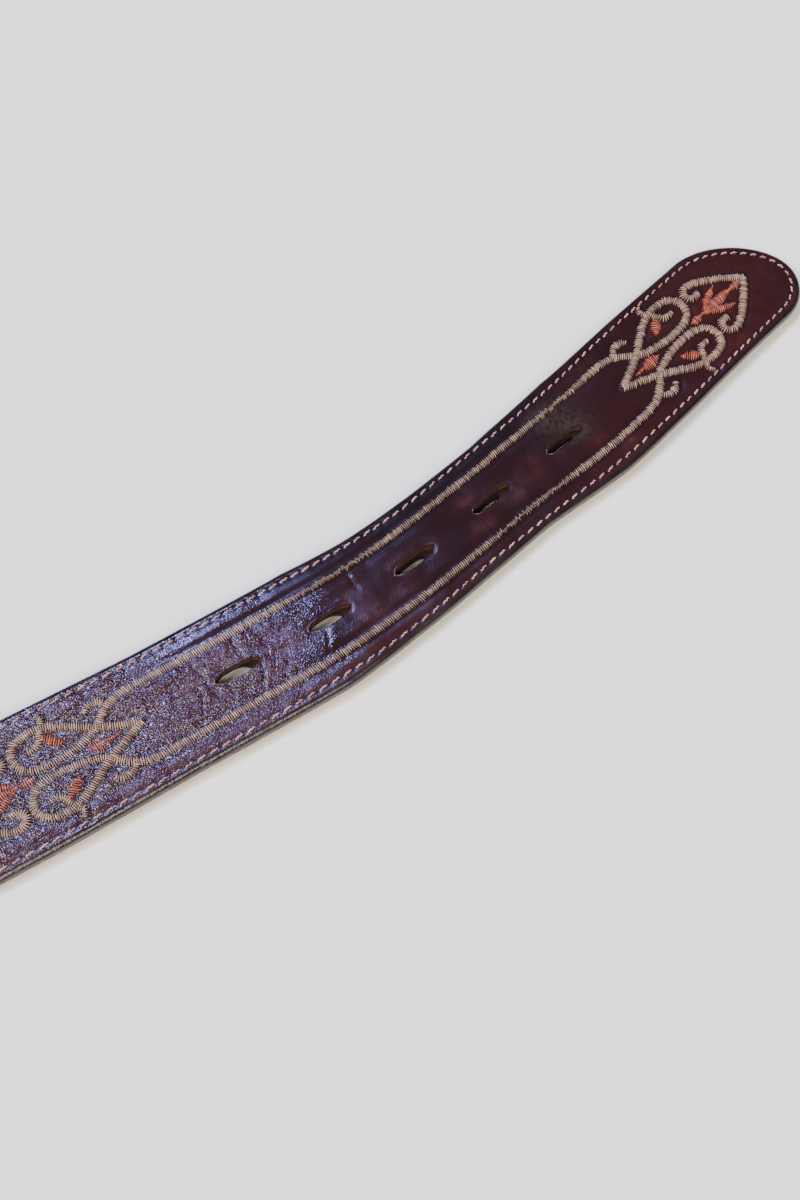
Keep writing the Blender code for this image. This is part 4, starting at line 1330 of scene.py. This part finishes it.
def add_camera():
    """The camera looks down at the tip end, with the strap running up to the right."""
    forward = Vector((math.sin(STRAP_BEARING), math.cos(STRAP_BEARING), 0))
    aim = Vector((BAR.x + CAMERA_AIM[0], BAR.y + CAMERA_AIM[1], 0))
    camera = bpy.data.objects.new("camera", bpy.data.cameras.new("camera"))
    camera.data.lens = CAMERA_LENS
    camera.data.sensor_width = 36                # mm
    camera.data.clip_start = 0.01
    back = math.cos(CAMERA_PITCH) * CAMERA_DISTANCE
    camera.location = aim - forward * back + Vector((0, 0, math.sin(CAMERA_PITCH) * CAMERA_DISTANCE))
    camera.rotation_euler = (math.pi / 2 - CAMERA_PITCH, 0, -STRAP_BEARING)
    bpy.context.scene.collection.objects.link(camera)
    bpy.context.scene.camera = camera
    return aim


def aim_light(light, aim, offset):
    """Place a light at an offset, given in the camera's own directions, so that it faces the aim point."""
    turned = Matrix.Rotation(-STRAP_BEARING, 3, "Z") @ Vector(offset)
    light.location = aim + turned
    light.rotation_euler = (-turned).to_track_quat("-Z", "Y").to_euler()
    bpy.context.scene.collection.objects.link(light)


def add_window(aim, offset, size, power, colour):
    """The small cool light that the middle of the strap mirrors."""
    data = bpy.data.lights.new("window", "AREA")
    data.shape = "RECTANGLE"
    data.size, data.size_y = size
    data.energy = power
    data.color = colour
    aim_light(bpy.data.objects.new("window", data), aim, offset)


def add_sky_light(name, aim, offset, degrees, strength, colour):
    """A broad light from far away, which lights the whole floor evenly."""
    data = bpy.data.lights.new(name, "SUN")
    data.angle = math.radians(degrees)
    data.energy = strength
    data.color = colour
    aim_light(bpy.data.objects.new(name, data), aim, offset)


def build_world():
    """A dim room overhead that grows pale towards the horizon."""
    world = bpy.data.worlds.new("studio")
    world.use_nodes = True
    nodes, links = world.node_tree.nodes, world.node_tree.links
    direction = nodes.new("ShaderNodeTexCoord")
    split = nodes.new("ShaderNodeSeparateXYZ")
    fade = nodes.new("ShaderNodeMapRange")
    links.new(direction.outputs["Generated"], split.inputs[0])
    links.new(split.outputs["Z"], fade.inputs["Value"])
    for key, number in zip(("From Min", "From Max", "To Min", "To Max"), (0.0, 0.15, 0.80, 0.12)):
        fade.inputs[key].default_value = number
    links.new(fade.outputs["Result"], nodes["Background"].inputs["Strength"])
    nodes["Background"].inputs["Color"].default_value = (0.97, 0.97, 1.0, 1)
    bpy.context.scene.world = world


def add_studio(aim):
    """The lights and a plain pale floor."""
    build_world()
    add_window(aim, WINDOW_PLACE, size=(0.86, 0.58), power=170, colour=(0.33, 0.40, 1.0))
    add_sky_light("side_light", aim, SIDE_LIGHT_PLACE, degrees=30, strength=5.6, colour=(1.0, 0.94, 0.84))
    add_sky_light("room", aim, ROOM_LIGHT_PLACE, degrees=40, strength=3.9, colour=(1.0, 0.93, 0.80))
    bpy.ops.mesh.primitive_plane_add(size=60, location=(0, 0, -0.0003))
    floor = bpy.context.object
    floor.name = "floor"
    n = Nodes("pale_floor")
    n.finish(Base_Color=(0.82, 0.785, 0.70), Roughness=0.9)
    floor.data.materials.append(n.material)


# ---------------------------------------------------------------- making everything

def build():
    """The studio, then the strap from its leathers to its stitching, then the buckle end."""
    add_studio(add_camera())
    leather = face_leather()
    raw = plain_leather("raw_russet", (0.016, 0.0055, 0.0045), (0.058, 0.0150, 0.0090), 0.75, 700)
    # painted shade: near-black leather for the lining's upper side and slot walls, seen in the slots
    inner = plain_leather("painted_shade_lining_top", (0.009, 0.0040, 0.0034), (0.030, 0.0095, 0.0070), 0.8, 500)
    build_face(leather, raw)
    build_filler(plain_leather("filler_board", (0.14, 0.05, 0.03), (0.22, 0.09, 0.05), 0.85, 500))
    build_lining(
        plain_leather("lining_leather", (0.13, 0.045, 0.028), (0.20, 0.075, 0.045), 0.6, 220),
        plain_leather("lining_edge", (0.055, 0.018, 0.014), (0.16, 0.052, 0.036), 0.55, 400), inner,
    )
    tan = thread("tan_thread", (0.110, 0.064, 0.040), (0.41, 0.262, 0.172), 0.36)
    orange = thread("orange_thread", (0.14, 0.023, 0.009), (0.44, 0.100, 0.042), 0.4)
    pinkish = thread("perimeter_thread", (0.20, 0.092, 0.080), (0.52, 0.29, 0.245))
    build_embroidery(tan, orange)
    build_edge_stitching(pinkish)
    brass = metal("aged_brass", (0.62, 0.40, 0.14), (0.17, 0.095, 0.040), 0.26)
    steel = metal("plated_steel", (0.66, 0.50, 0.26), (0.26, 0.19, 0.12), 0.22)
    build_frame(brass)
    build_bar(steel)
    build_prong(steel)
    build_fold(leather)
    build_keeper(leather)
    build_cross_stitching(pinkish)


build()
